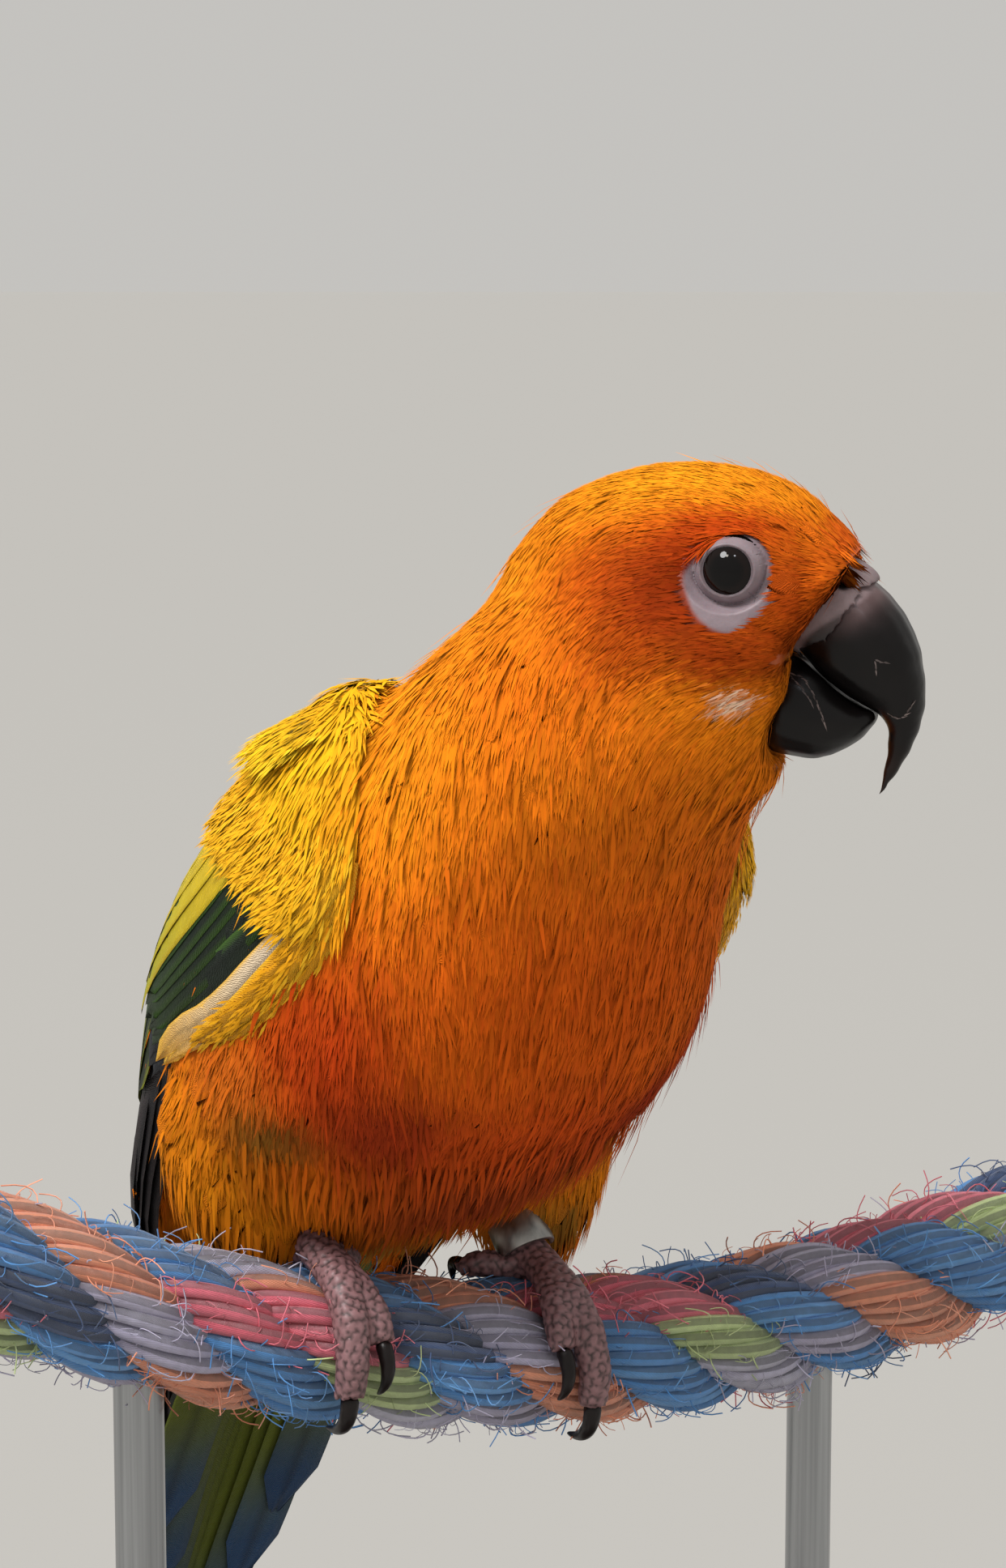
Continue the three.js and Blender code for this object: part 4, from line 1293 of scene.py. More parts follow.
@dataclass
class Barbs:
    """The loose outer barbs of the small feathers, thin pointed blades that lie along the coat.

    The length, width and lift are each given on the body, on the head, and as what the front of
    the face takes off. No barb grows further than the longest run on to the wings.
    """

    coat: Coat
    number: int = 185000
    most_in_piece: int = 33000
    seed: int = 21
    length: tuple = (5.2, 2.9, 1.2)
    width: tuple = (0.54, 0.34, 0.09)
    lift: tuple = (0.95, 0.65, 0.2)
    longest_run: float = 0.16

    @staticmethod
    def _front(points: Array) -> tuple:
        """How far a place is on the head, and how far forward on it."""
        head = near_head(points)
        return head, head * smooth(-3, 6, to_head(points)[..., 1])

    def _density(self, points: Array) -> Array:
        """Barbs for each square millimetre."""
        head, front = self._front(points)
        return 4.6 * (1 - head) + 12.0 * head + 12.0 * front

    @staticmethod
    def _blend(sizes: tuple, head: Array, front: Array) -> Array:
        """Blends a size between the body and the head, less what the face takes off it."""
        return sizes[0] * (1 - head) + sizes[1] * head - sizes[2] * front

    def _nearest_feathers(self, spots: Array) -> tuple:
        """Number of the small feather under each place, with the feathers' middles and spacing."""
        middles = np.concatenate([c[0] for c in self.coat.centres])
        spacing = np.concatenate([c[1] for c in self.coat.centres])
        tree = KDTree(len(middles))
        for i, spot in enumerate(middles):
            tree.insert(spot.tolist(), i)
        tree.balance()
        feather = np.array([tree.find(spot)[1] for spot in spots.tolist()], int)
        return feather, middles, spacing[feather]

    def build(self, material: bpy.types.Material) -> None:
        """Builds the barbs in pieces by height.

        Short barbs at the edge of the forehead lean forward over the cere, and long wisps stand
        off the coat here and there.

        Args:
            material: The material of the barbs.
        """
        rng = np.random.default_rng(self.seed)
        spots, normals, numbers = self.coat.scatter(self.number, self._density)
        run = WINGS_FIELD.run(spots)
        keep = run < self.longest_run + 0.012 * np.sin(spots[:, 1] * 1.9)
        spots, normals, numbers, run = spots[keep], normals[keep], numbers[keep], run[keep]
        count = len(spots)
        head, front = self._front(spots)
        wing = smooth(-0.5, 0.0, run)
        length = self._blend(self.length, head, front) * rng.uniform(0.65, 1.25, count)
        width = self._blend(self.width, head, front) * rng.uniform(0.7, 1.2, count)
        lift = self._blend(self.lift, head, front) * rng.uniform(0.7, 1.05, count)
        lift = lift + wing * rng.uniform(0.4, 1.5, count)
        face = to_head(spots)
        over_bill = (face[:, 2] > -0.2) & (np.abs(face[:, 0]) < 5.5) & (head > 0.5)
        rimmed = over_bill & (rng.random(count) < smooth(-4.6, -2.2, before_face(face)))
        forward = from_head(np.array((0.0, 0.68, -0.73))) - from_head(np.zeros(3))
        chin = np.exp(-(((face - np.array((0, 3.0, -24))) / np.array((8, 5, 4))) ** 2).sum(1))
        spike = rng.random(count) < 0.05 * chin + 0.01 * (1 - head)
        length = length * np.where(spike, 1.6, 1.0)
        lift = lift + spike * 1.2
        flow = np.where(rimmed[:, None], unit(forward + rng.normal(0, 0.1, (count, 3))), body_flow(spots))
        feather, middles, spacing = self._nearest_feathers(spots + normals * 0.6)
        away = (spots - middles[feather]) / spacing[:, None]
        beside = unit(np.cross(flow, normals))
        later = np.clip((away * flow).sum(1), -1, 1)
        sideways = np.clip((away * beside).sum(1), -1, 1)
        lean = rng.normal(0, 0.08, (len(middles), 3))[feather] + rng.normal(0, 0.08, (count, 3))
        flow = unit(flow + lean + beside * (0.10 * sideways)[:, None])
        ahead = unit(flow - normals * (flow * normals).sum(1, keepdims=True))
        tip, tip_up, _ = self.coat.skin.nearest(spots + ahead * length[:, None])
        turned = (tip_up * normals).sum(1)
        sound = np.linalg.norm(tip - spots, axis=1) > 0.6 * length
        sound &= turned > np.where(front > 0.5, -0.1, 0.45)
        lift = lift * (1 + 0.2 * later)
        fringe = spots + (flow + normals * 0.05) * (0.9 * length + 0.2)[:, None]
        low = (smooth(36, 26, spots[:, 2]) * smooth(22, 8, spots[:, 1])) > rng.uniform(0, 5, count)
        hanging = spots + unit(ahead + np.array((0, 0, -0.9))) * (1.35 * length)[:, None]
        end = np.where(low[:, None], hanging, tip + tip_up * lift[:, None])
        end = np.where(rimmed[:, None], fringe, end)
        sound |= low | rimmed
        root = spots + normals * (0.15 * lift + 0.7 * wing)[:, None]
        up = unit(normals + np.where(low[:, None], 0, np.where(rimmed[:, None], (0, 0, 0.6), tip_up)))
        tilt = ahead * (0.14 * later)[:, None] + beside * (0.18 * sideways)[:, None]
        tilt = tilt + rng.normal(0, 0.06, (count, 3))
        wander = rng.normal(0, 0.9, (count, 1)) * ahead + rng.normal(0, 0.5, (count, 1)) * beside
        tints = MARKINGS_AND_SHADE((root + end) / 2 + wander, run)
        # Random tone by feather and by barb, and lighter barbs towards the far edge of each feather and darker near
        # its base: partly its paler fringe, partly painted light and painted shade that bring out the coat's
        # scallops.
        tone_and_painted_shade = rng.normal(0, 0.04, len(middles))[feather] + rng.normal(0, 0.07, count) + 0.06 * later
        tints = tints * (1 + tone_and_painted_shade)[:, None]
        tints[:, 1] *= 1 + rng.normal(0, 0.04, count) + 0.05 * later
        places = self.coat.skin.place_on_unwrap(numbers, spots)
        order = np.nonzero(sound)[0]
        order = order[np.argsort(-spots[order, 2], kind="stable")]
        for number, group in enumerate(np.array_split(order, math.ceil(len(order) / self.most_in_piece))):
            piece = build_blades(
                f"barbs_{number + 1}", root[group], end[group], up[group], width[group],
                (up + tilt)[group], tints[group], places[group],
            )
            piece.data.materials.append(material)
            settle(piece, "feathers_orange")


def coat_plans() -> list:
    """The kinds of small feather, from the face back to the tail."""

    def face_zone(p: Array, winged: Array) -> Array:
        return (near_head(p) > 0.5) & (to_head(p)[:, 1] > -4) & (to_head(p)[:, 1] < 5)

    def crown_zone(p: Array, winged: Array) -> Array:
        return (near_head(p) > 0.5) & (to_head(p)[:, 1] <= -3)

    def neck_zone(p: Array, winged: Array) -> Array:
        return (near_head(p) <= 0.55) & (p[:, 2] > 66) & (winged < 0)

    def leg_zone(p: Array, winged: Array) -> Array:
        near = (np.abs(np.abs(p[:, 0]) - 20.5) < 13) & (np.abs(p[:, 1] - 7) < 13) & (p[:, 2] < 34)
        return near & (winged < 0)

    def body_zone(p: Array, winged: Array) -> Array:
        return (near_head(p) <= 0.55) & (p[:, 2] <= 67) & (winged < 0) & ~leg_zone(p, winged)

    def breast_zone(p: Array, winged: Array) -> Array:
        return body_zone(p, winged) & (p[:, 1] < -4)

    def back_zone(p: Array, winged: Array) -> Array:
        return body_zone(p, winged) & (p[:, 1] >= -5)

    def wing_zone(p: Array, winged: Array) -> Array:
        return (winged >= 0) & (winged < 0.15)

    return [
        TuftPlan("coat_face", 0.95, 2.5, 1.5, 0.3, 4, 4, face_zone),
        TuftPlan("coat_crown", 1.3, 3.8, 2.2, 0.45, 5, 4, crown_zone),
        TuftPlan("coat_neck", 2.0, 6.4, 3.6, 0.6, 6, 5, neck_zone),
        TuftPlan("coat_breast", 2.3, 7.6, 4.2, 0.6, 6, 5, breast_zone),
        TuftPlan("coat_back", 2.9, 9.0, 5.6, 0.8, 6, 6, back_zone),
        TuftPlan("coat_legs", 2.0, 6.5, 3.4, 0.8, 6, 5, leg_zone, ragged=0.22),
        TuftPlan("coat_shoulders", 2.2, 6.4, 3.8, 0.6, 6, 5, wing_zone, slot="feathers_yellow"),
    ]


@dataclass(frozen=True)
class FlightRow:
    """A row of long feathers laid side by side on a folded wing.

    Args:
        name: The row's name.
        count: How many feathers.
        root: Run and arc of the first and of the last root.
        tip: Run and arc of the first and of the last tip.
        width: Full width in millimetres.
        sink: Depth of the row under the wing's surface, root and tip.
        hues: Colours from root to tip.
        edge_hue: Colour of the outer edge.
        edge_share: How much of the vane the edge colour takes.
        loose: How many loose barbs soften each feather.
    """

    name: str
    count: int
    root: tuple
    tip: tuple
    width: float
    sink: tuple
    hues: tuple
    edge_hue: str
    edge_share: float = 0.25
    loose: int = 0
    rows: int = 12
    columns: int = 7


FLIGHT_ROWS = (
    FlightRow("primaries", 8, ((0.38, 0.09), (0.44, 0.50)), ((0.86, 0.10), (1.0, 0.55)), 6.6,
              (2.0, 1.1), ("#131015", "#110e11", "#1d1418"), "#2e2628", 0.12),
    FlightRow("secondaries", 10, ((0.30, 0.30), (0.30, 1.0)), ((0.50, 0.26), (0.74, 0.98)), 6.6,
              (1.8, 0.9), ("#2f3d18", "#27331a", "#20281c"), "#9aa024", 0.16),
    FlightRow("primary_coverts", 5, ((0.13, 0.16), (0.13, 0.24)), ((0.44, 0.118), (0.43, 0.18)), 5.0,
              (1.6, 0.8), ("#14181c", "#0f1219", "#10131d"), "#1c222c", 0.12),
    FlightRow("greater_coverts", 7, ((0.12, 0.20), (0.13, 0.44)), ((0.405, 0.19), (0.37, 0.38)), 6.2,
              (1.4, 0.6), ("#1d2a16", "#18221a", "#2a3f20"), "#3f5f22", 0.14),
    FlightRow("outer_coverts", 9, ((0.12, 0.44), (0.14, 1.0)), ((0.42, 0.41), (0.44, 0.97)), 6.6,
              (1.2, 0.3), ("#e3b41e", "#c9b522", "#98a322"), "#e8c926", 0.2),
    # The whitish roots of the edge coverts are a painted highlight along the wing's leading edge; towards their tips
    # they turn to their own yellow.
    FlightRow("edge_coverts", 4, ((0.13, 0.128), (0.13, 0.168)), ((0.405, 0.098), (0.40, 0.122)), 3.4,
              (1.1, -0.1), ("#ecd9c2", "#e8cfa8", "#eeb021"), "#f0b93c", 0.2),
    FlightRow("wing_edge", 3, ((0.10, 0.07), (0.10, 0.12)), ((0.34, 0.075), (0.33, 0.094)), 3.4,
              (1.0, 0.0), ("#efa51c", "#eda61e", "#eca81f"), "#f3b92c", 0.2, 90),
    FlightRow("median_coverts", 22, ((0.075, 0.10), (0.075, 1.0)), ((0.17, 0.17), (0.20, 0.99)), 4.4,
              (1.2, 0.0), ("#f2a51b", "#f0ab1d", "#e6a81f"), "#f2b727", 0.2, 130),
    FlightRow("scapulars", 14, ((0.0, 1.0), (0.0, 0.45)), ((0.115, 0.86), (0.07, 0.40)), 4.6,
              (2.2, -2.0), ("#f0a01a", "#f5b41e", "#f6c022"), "#f8c92c", 0.2, 130),
)


@dataclass
class Wing:
    """The long feathers of one folded wing, row over row."""

    side: Side
    skin: Skin
    shape: WingShape = field(init=False)

    def __post_init__(self) -> None:
        """Makes the wing's surface."""
        self.shape = WingShape(self.side)

    def _row(self, row: FlightRow, seed: int) -> tuple:
        """Lays out one row of feathers."""
        rng = np.random.default_rng(seed)
        order = np.linspace(0, 1, row.count)[:, None]
        t = np.linspace(0, 1, row.rows)[None, :]
        begin = np.array(row.root[0]) * (1 - order) + np.array(row.root[1]) * order
        finish = np.array(row.tip[0]) * (1 - order) + np.array(row.tip[1]) * order
        finish = finish + rng.normal(0, 1, finish.shape) * np.array((0.008, 0.006))
        if self.side is Side.LEFT:
            begin[:, 1] -= 0.07 * (1 - begin[:, 1])
            finish[:, 1] -= 0.07 * (1 - finish[:, 1])
        run = begin[:, 0:1] * (1 - t) + finish[:, 0:1] * t
        arc = begin[:, 1:2] * (1 - t) + finish[:, 1:2] * t
        sink = row.sink[0] * (1 - t) + row.sink[1] * t + 0.12 * (1 - order)
        middles = self.shape.surface(run, arc, sink)
        along = unit(np.gradient(middles, axis=1))
        beside = unit(self.shape.surface(run, arc + 0.03, sink) - self.shape.surface(run, arc - 0.03, sink))
        up = unit(np.cross(along, beside)) * self.side.value
        outward = middles - self.shape.surface(run, arc, sink + 2.0)
        up = up * np.sign((up * outward).sum(-1, keepdims=True))
        sides = unit(np.cross(along, up))
        outline = np.minimum(1, (0.5 + 1.6 * t)) * np.sqrt(np.clip(1 - t**7, 0.0, 1)) * 0.93 + 0.07
        outline = outline * (1 - 0.72 * smooth(0.9, 1.0, t))
        widths = row.width / 2 * outline * np.ones((row.count, 1))
        grid = VaneGrid(row.rows, row.columns)
        hues = np.stack([colour(h) for h in row.hues])
        place = t[0] * (len(hues) - 1)
        low = np.minimum(place.astype(int), len(hues) - 2)
        part = (place - low)[:, None]
        ramp = hues[low] * (1 - part) + hues[low + 1] * part
        tints = np.broadcast_to(ramp[None, :, None, :], (row.count, row.rows, row.columns, 3)).copy()
        tints = tints * rng.normal(1, 0.08, (row.count, 1, 1, 1))
        edge = smooth(1 - 2 * row.edge_share, 1, np.abs(grid.across))[None, None, :, None]
        tints = tints * (1 - edge) + colour(row.edge_hue) * edge
        shaft = np.exp(-((grid.across / 0.12) ** 2))[None, None, :, None]
        tints = tints * (1 - 0.35 * shaft)
        return grid, middles, sides, up, widths, tints

    def build(self, material: bpy.types.Material, loose: bpy.types.Material) -> None:
        """Builds every row as its own piece.

        Args:
            material: The material of the vanes.
            loose: The material of their loose barbs.
        """
        for number, row in enumerate(FLIGHT_ROWS):
            grid, middles, sides, ups, widths, tints = self._row(row, 20 + number)
            _, _, faces = self.skin.nearest(middles[:, 0])
            roots = self.skin.place_on_unwrap(faces, middles[:, 0])
            piece = build_vanes(
                f"{row.name}_{self.side.word}", grid, middles, sides, ups, widths, tints, roots,
                cup=0.07, thickness=0.25, ragged=0.03, soft=0.5, seed=number,
            )
            piece.data.materials.append(material)
            settle(piece, "feathers_yellow")
            if row.loose:
                self._loosen(row, middles, sides, ups, widths, tints, roots, loose)

    def _loosen(
        self,
        row: FlightRow,
        middles: Array,
        sides: Array,
        ups: Array,
        widths: Array,
        tints: Array,
        roots: Array,
        material: bpy.types.Material,
    ) -> None:
        """Covers a row's feathers with loose barbs."""
        rng = np.random.default_rng(len(row.name))
        number = row.count * row.loose
        vane = np.repeat(np.arange(row.count), row.loose)
        along = rng.uniform(0.08, 0.97, number) * (row.rows - 1)
        low = np.minimum(along.astype(int), row.rows - 2)
        part = (along - low)[:, None]

        def at(values: Array) -> Array:
            return values[vane, low] * (1 - part) + values[vane, low + 1] * part

        across = rng.uniform(-1, 1, number)
        wide = at(widths[..., None])[:, 0]
        side, up = unit(at(sides)), unit(at(ups))
        ahead = unit(middles[vane, low + 1] - middles[vane, low])
        root = at(middles) + side * (across * wide)[:, None] + up * rng.uniform(0, 0.15, number)[:, None]
        length = rng.uniform(1.8, 3.6, number)
        heading = ahead + side * (0.22 * across + rng.normal(0, 0.07, number))[:, None]
        heading = heading + up * rng.uniform(-0.06, 0.12, number)[:, None]
        end = root + unit(heading) * length[:, None]
        column = np.clip(((across + 1) / 2 * (row.columns - 1)).astype(int), 0, row.columns - 1)
        tint = tints[vane, low, column] * rng.normal(1.03, 0.08, (number, 1))
        lean = up + side * (0.3 * across)[:, None] + rng.normal(0, 0.08, (number, 3))
        piece = build_blades(
            f"{row.name}_barbs_{self.side.word}", root, end, up, rng.uniform(0.22, 0.4, number), lean, tint,
            roots[vane],
        )
        piece.data.materials.append(material)
        settle(piece, "feathers_yellow")


@dataclass
class Tail:
    """The stepped tail: twelve long feathers, the middle pair longest and on top."""

    skin: Skin
    pairs: int = 6
    rows: int = 18
    columns: int = 7
    path: tuple = ((0, 24, 17), (0, 36, -3), (0, 51, -28), (0, 66, -54), (0, 80, -79), (0, 90, -98))
    half_width: tuple = (8, 10.5, 11, 9.5, 6.4, 2.4)
    half_depth: tuple = (4.5, 3.4, 2.4, 1.8, 1.4, 0.9)

    def build(self, material: bpy.types.Material) -> None:
        """Builds the tail feathers and stands them for the tail's solid."""
        stations = np.array(self.path, float)
        grid = VaneGrid(self.rows, self.columns)
        middles, sides, ups, widths, tints = [], [], [], [], []
        t = np.linspace(0, 1, self.rows)
        rng = np.random.default_rng(3)
        for number in range(self.pairs):
            for sign in (-1, 1):
                end = 1.0 - 0.105 * number
                run = 0.02 + (end - 0.02) * t
                spot = np.stack([WingShape._value(stations[:, k], run) for k in range(3)], -1)
                next_spot = np.stack([WingShape._value(stations[:, k], run + 0.01) for k in range(3)], -1)
                along = unit(next_spot - spot + 1e-9)
                along[-1] = along[-2]
                up = unit(np.cross(np.array((1.0, 0, 0)), along))
                up = up * np.sign(up[:, 2:3])
                half = WingShape._value(np.array(self.half_width, float), run)
                deep = WingShape._value(np.array(self.half_depth, float), run)
                out = (0.10 + 0.155 * number) * half * smooth(-0.3, 0.6, t)
                lift = deep * (0.8 - 0.28 * number)
                wide = np.minimum(half * 0.42, 4.4) * np.minimum(1, 0.45 + 2 * t)
                wide = wide * (1 - 0.8 * smooth(0.86, 1.0, t) ** 1.5)
                side = np.tile(np.array((1.0, 0, 0)), (self.rows, 1))
                middles.append(spot + side * (sign * out)[:, None] + up * lift[:, None])
                sides.append(side)
                ups.append(up)
                widths.append(wide)
                olive = colour("#6a7423") * (1 - number * 0.05)
                blue = colour("#24466e")
                part = smooth(0.62, 0.92, t)[:, None]
                shade = (olive * (1 - part) + blue * part) * rng.normal(1, 0.05)
                yellow = smooth(0.25, 0.0, t)[:, None]
                shade = shade * (1 - yellow) + colour("#c9a422") * yellow
                shaft = np.exp(-((grid.across / 0.12) ** 2))[None, :, None]
                tints.append(shade[:, None, :] * (1 - 0.4 * shaft))
        middles, sides, ups, widths, tints = (np.stack(x) for x in (middles, sides, ups, widths, tints))
        _, _, faces = self.skin.nearest(middles[:, 0])
        roots = self.skin.place_on_unwrap(faces, middles[:, 0])
        flip = np.sign((np.cross(sides, np.gradient(middles, axis=1)) * ups).sum(-1, keepdims=True))
        piece = build_vanes(
            "tail_feathers", grid, middles, sides * -flip, ups, widths, tints, roots,
            cup=0.08, thickness=0.45, ragged=0.02, soft=0.4, seed=5,
        )
        piece.data.materials.append(material)
        settle(piece, "feathers_olive", "tail")


# Bare parts


@dataclass
class Eye:
    """A dark eye with a full cornea."""

    side: Side
    rings: int = 40
    spokes: int = 56

    def build(self, material: bpy.types.Material) -> None:
        """Builds the ball, its pole outwards, with pupil and iris in its tint."""
        polar = np.linspace(0, math.pi, self.rings + 1)[1:-1]
        turn = np.linspace(0, 2 * math.pi, self.spokes, endpoint=False)
        away, round_ = np.meshgrid(polar, turn, indexing="ij")
        bulge = 1 + 0.035 * np.exp(-((away / 0.55) ** 2))
        radius = EYE_RADIUS * bulge
        sign = self.side.value
        spots = np.stack(
            [
                sign * (EYE_SIDE + radius * np.cos(away)),
                EYE_FORWARD + radius * np.sin(away) * np.cos(round_),
                EYE_UP + radius * np.sin(away) * np.sin(round_),
            ],
            -1,
        ).reshape(-1, 3)
        ends = (EYE_SIDE + EYE_RADIUS * 1.035, EYE_SIDE - EYE_RADIUS)
        poles = np.array([[sign * end, EYE_FORWARD, EYE_UP] for end in ends])
        points = from_head(np.concatenate([spots, poles]))
        faces = []
        n, m = self.rings - 1, self.spokes
        for i in range(n - 1):
            for k in range(m):
                j = (k + 1) % m
                faces.append((i * m + k, i * m + j, (i + 1) * m + j))
                faces.append((i * m + k, (i + 1) * m + j, (i + 1) * m + k))
        for k in range(m):
            j = (k + 1) % m
            faces.append((n * m, j, k))
            faces.append((n * m + 1, (n - 1) * m + k, (n - 1) * m + j))
        faces = np.array(faces)
        middle = points.mean(0)
        outward = (normals_at(points, faces) * (points - middle)).sum() > 0
        piece = new_piece(f"eyeball_{self.side.word}", points, faces if outward else faces[:, ::-1])
        off = np.hypot(to_head(points)[:, 1] - EYE_FORWARD, to_head(points)[:, 2] - EYE_UP)
        front = sign * to_head(points)[:, 0] > EYE_SIDE
        tints = np.broadcast_to(colour("#0a0808"), points.shape).copy()
        iris = np.where(front, smooth(1.7, 1.95, off) * smooth(2.7, 2.4, off), 0)[:, None]
        tints = tints * (1 - iris) + colour("#150d0b") * iris
        paint(piece, tints)
        piece.data.materials.append(material)
        settle(piece, "eye", f"eye_{self.side.word}")


def subdivided_copy(name: str, node: str, levels: int) -> bpy.types.Object:
    """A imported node's merged copy, rounded by subdivision."""
    piece = joined_copy(name, [node])
    step = piece.modifiers.new("Rounding", "SUBSURF")
    step.levels = step.render_levels = levels
    applied(piece)
    piece.data.shade_smooth()
    return piece


# Worn places of the horn, as side, forward and up of the head: chips on the upper bill, and
# the ridges that run down the side of the lower one.
BILL_FLAKES = (
    ((-5, 15.0, -9.5), (-5, 16.5, -10.0)),
    ((-5, 15.0, -9.5), (-5, 15.2, -11.2)),
    ((-3, 15.9, -15.9), (-3, 17.2, -16.4), (-3, 18.6, -15.9), (-3, 19.2, -14.7)),
    ((3, 15.9, -15.9), (3, 17.2, -16.4), (3, 18.6, -15.9)),
)
BILL_RIDGES = (
    ((-6, 5.6, -9.9), (-6, 7.6, -10.8), (-6, 8.8, -12.7), (-6, 9.3, -14.8), (-5, 9.7, -17.3)),
    ((-6, 5.6, -10.4), (-6, 7.0, -11.8), (-6, 7.9, -13.4), (-6, 8.5, -14.8)),
    ((6, 5.6, -9.9), (6, 7.6, -10.8), (6, 8.8, -12.7), (6, 9.3, -14.8), (5, 9.7, -17.3)),
)


@dataclass
class Bill:
    """Glossy black horn: a long hooked upper bill, a short lower one, and the soft cere."""

    voxel: float = 0.36

    def _horn(self, name: str, node: str, rounds: int) -> tuple:
        """A finely meshed copy of a node, eased back to its size after smoothing."""
        piece = joined_copy(name, [node])
        remeshed(piece, self.voxel)
        triangulated(piece)
        points, faces = points_of(piece.data), corners_of(piece.data)
        for _ in range(rounds):
            points = points + 0.55 * (neighbours_mean(points, faces) - points)
            points = points - 0.57 * (neighbours_mean(points, faces) - points)
        return piece, points, faces

    @staticmethod
    def _tints(face: Array) -> Array:
        """Mauve-grey cere, fading over the bill's base into black horn."""
        out = before_face(face)
        top = smooth(-7.5, -2.5, face[:, 2])
        soft = smooth(0.5, -0.5, out - (0.45 + 2.6 * top))[:, None]
        grey = np.exp(-((np.maximum(out - 2.4, 0) / 3.0) ** 2)) * smooth(-9, -2.5, face[:, 2] - 0.15 * out)
        grey = grey[:, None]
        tints = colour("#0b0808") * (1 - grey) + colour("#5e4b4b") * grey
        tints = tints * (1 - soft) + colour("#857375") * soft
        hook = (smooth(-18.5, -22, face[:, 2]) * 0.35)[:, None]
        tints = tints * (1 - hook) + colour("#2c1c18") * hook
        # The nostril is a dark spot painted on the cere: painted shade of its opening.
        hole = np.hypot(np.hypot(np.abs(face[:, 0]) - 4.7, face[:, 1] - 11.3), face[:, 2] + 1.2)
        dark = smooth(1.25, 0.8, hole)[:, None]
        return tints * (1 - dark) + colour("#150d0c") * dark

    @staticmethod
    def _flakes(name: str, lines: tuple, points: Array, faces: Array, material: bpy.types.Material) -> None:
        """Raises thin pale ridges where the outer horn is wearing off.

        Args:
            name: The piece's name.
            lines: Side, forward and up along each ridge.
            points: The horn's vertices.
            faces: Its faces.
            material: The horn.
        """
        rng = np.random.default_rng(17)
        surface = BVHTree.FromPolygons(points.tolist(), faces.tolist())
        roots, ends, ups, widths = [], [], [], []
        for line in lines:
            spots = from_head(np.array(line, float))
            for start, stop in zip(spots[:-1], spots[1:]):
                count = max(3, int(np.linalg.norm(stop - start) / 0.45))
                for share in np.arange(count) / count:
                    spot = start * (1 - share) + stop * share + rng.normal(0, 0.05, 3)
                    place, normal, _, _ = surface.find_nearest(spot.tolist())
                    place, normal = np.array(place), np.array(normal)
                    ahead = unit(stop - start + rng.normal(0, 0.12, 3))
                    ahead = unit(ahead - normal * (ahead @ normal))
                    roots.append(place - normal * 0.05 - ahead * 0.2)
                    ends.append(place + ahead * rng.uniform(0.7, 1.0) + normal * 0.02)
                    ups.append(normal)
                    widths.append(rng.uniform(0.12, 0.24))
        tints = colour("#6e625f") * rng.uniform(0.4, 1.1, (len(roots), 1))
        piece = build_blades(
            name, np.array(roots), np.array(ends), np.array(ups), np.array(widths), np.array(ups), tints,
            np.full((len(roots), 2), 0.5),
        )
        piece.data.materials.append(material)
        settle(piece, "bill")

    def build(self, horn: bpy.types.Material, soft: bpy.types.Material) -> None:
        """Builds both halves and the cere.

        Args:
            horn: The material of the bill.
            soft: The material of the cere.
        """
        for name, node, slot, material in (
            ("bill_upper_horn", "bill_upper", "bill", horn),
            ("bill_lower_horn", "bill_lower", "bill", horn),
            ("cere_skin", "cere", "bare_skin", soft),
        ):
            piece, points, faces = self._horn(name, node, 60)
            face = to_head(points)
            if node == "bill_upper":
                growth = 0.045 * np.sin((face[:, 1] * 0.5 + face[:, 2]) * 2.1) * smooth(-6, -10, face[:, 2])
                points = points + normals_at(points, faces) * growth[:, None]
                self._flakes("bill_flakes", BILL_FLAKES, points, faces, horn)
            if node == "bill_lower":
                self._flakes("bill_ridges", BILL_RIDGES, points, faces, horn)
            move_points(piece.data, points)
            tints = self._tints(face)
            if node == "bill_lower":
                low = (smooth(-20.5, -22, face[:, 2]) * 0.4)[:, None]
                tints = colour("#0d0a0a") * (1 - low) + colour("#463a36") * low
            paint(piece, tints)
            piece.data.materials.clear()
            piece.data.materials.append(material)
            settle(piece, slot, node)


@dataclass
class Feet:
    """Scaly feet with black claws."""

    voxel: float = 0.4
    scale_spacing: float = 0.95
    claws: tuple = ("outer_front", "inner_front", "outer_back", "inner_back")

    def build(self, side: Side, scales: bpy.types.Material, horn: bpy.types.Material) -> None:
        """Builds one foot and its claws."""
        node = f"foot_{side.word}"
        piece = joined_copy(f"foot_skin_{side.word}", [node])
        remeshed(piece, self.voxel)
        triangulated(piece)
        points, faces = points_of(piece.data), corners_of(piece.data)
        points = relax(points, faces, 8)
        normals = normals_at(points, faces)
        points = points + normals * 0.16
        rng = np.random.default_rng(11)
        order = rng.permutation(len(points))
        chosen = order[Coat.thinned(points[order], self.scale_spacing)]
        seeds = KDTree(len(chosen))
        for i, number in enumerate(chosen):
            seeds.insert(points[number].tolist(), i)
        seeds.balance()
        gap = np.zeros(len(points))
        for i, point in enumerate(points):
            found = seeds.find_n(point.tolist(), 2)
            gap[i] = found[1][2] - found[0][2]
        dome = smooth(0.0, 0.42, gap)
        points = points + normals * (0.2 * dome - 0.08)[:, None]
        move_points(piece.data, points)
        tints = colour("#3c2c2c") * (1 - dome[:, None]) + colour("#8a6668") * dome[:, None]
        paint(piece, tints * rng.normal(1, 0.03, (len(points), 1)))
        piece.data.materials.clear()
        piece.data.materials.append(scales)
        settle(piece, "foot_skin", node)
        for claw in self.claws:
            name = f"{claw}_{side.word}"
            piece = subdivided_copy(f"talon_{name}", f"claw_{name}", 2)
            paint(piece, np.broadcast_to(colour("#1a1413"), (len(piece.data.vertices), 3)))
            piece.data.materials.clear()
            piece.data.materials.append(horn)
            settle(piece, "claw", f"claw_{name}")


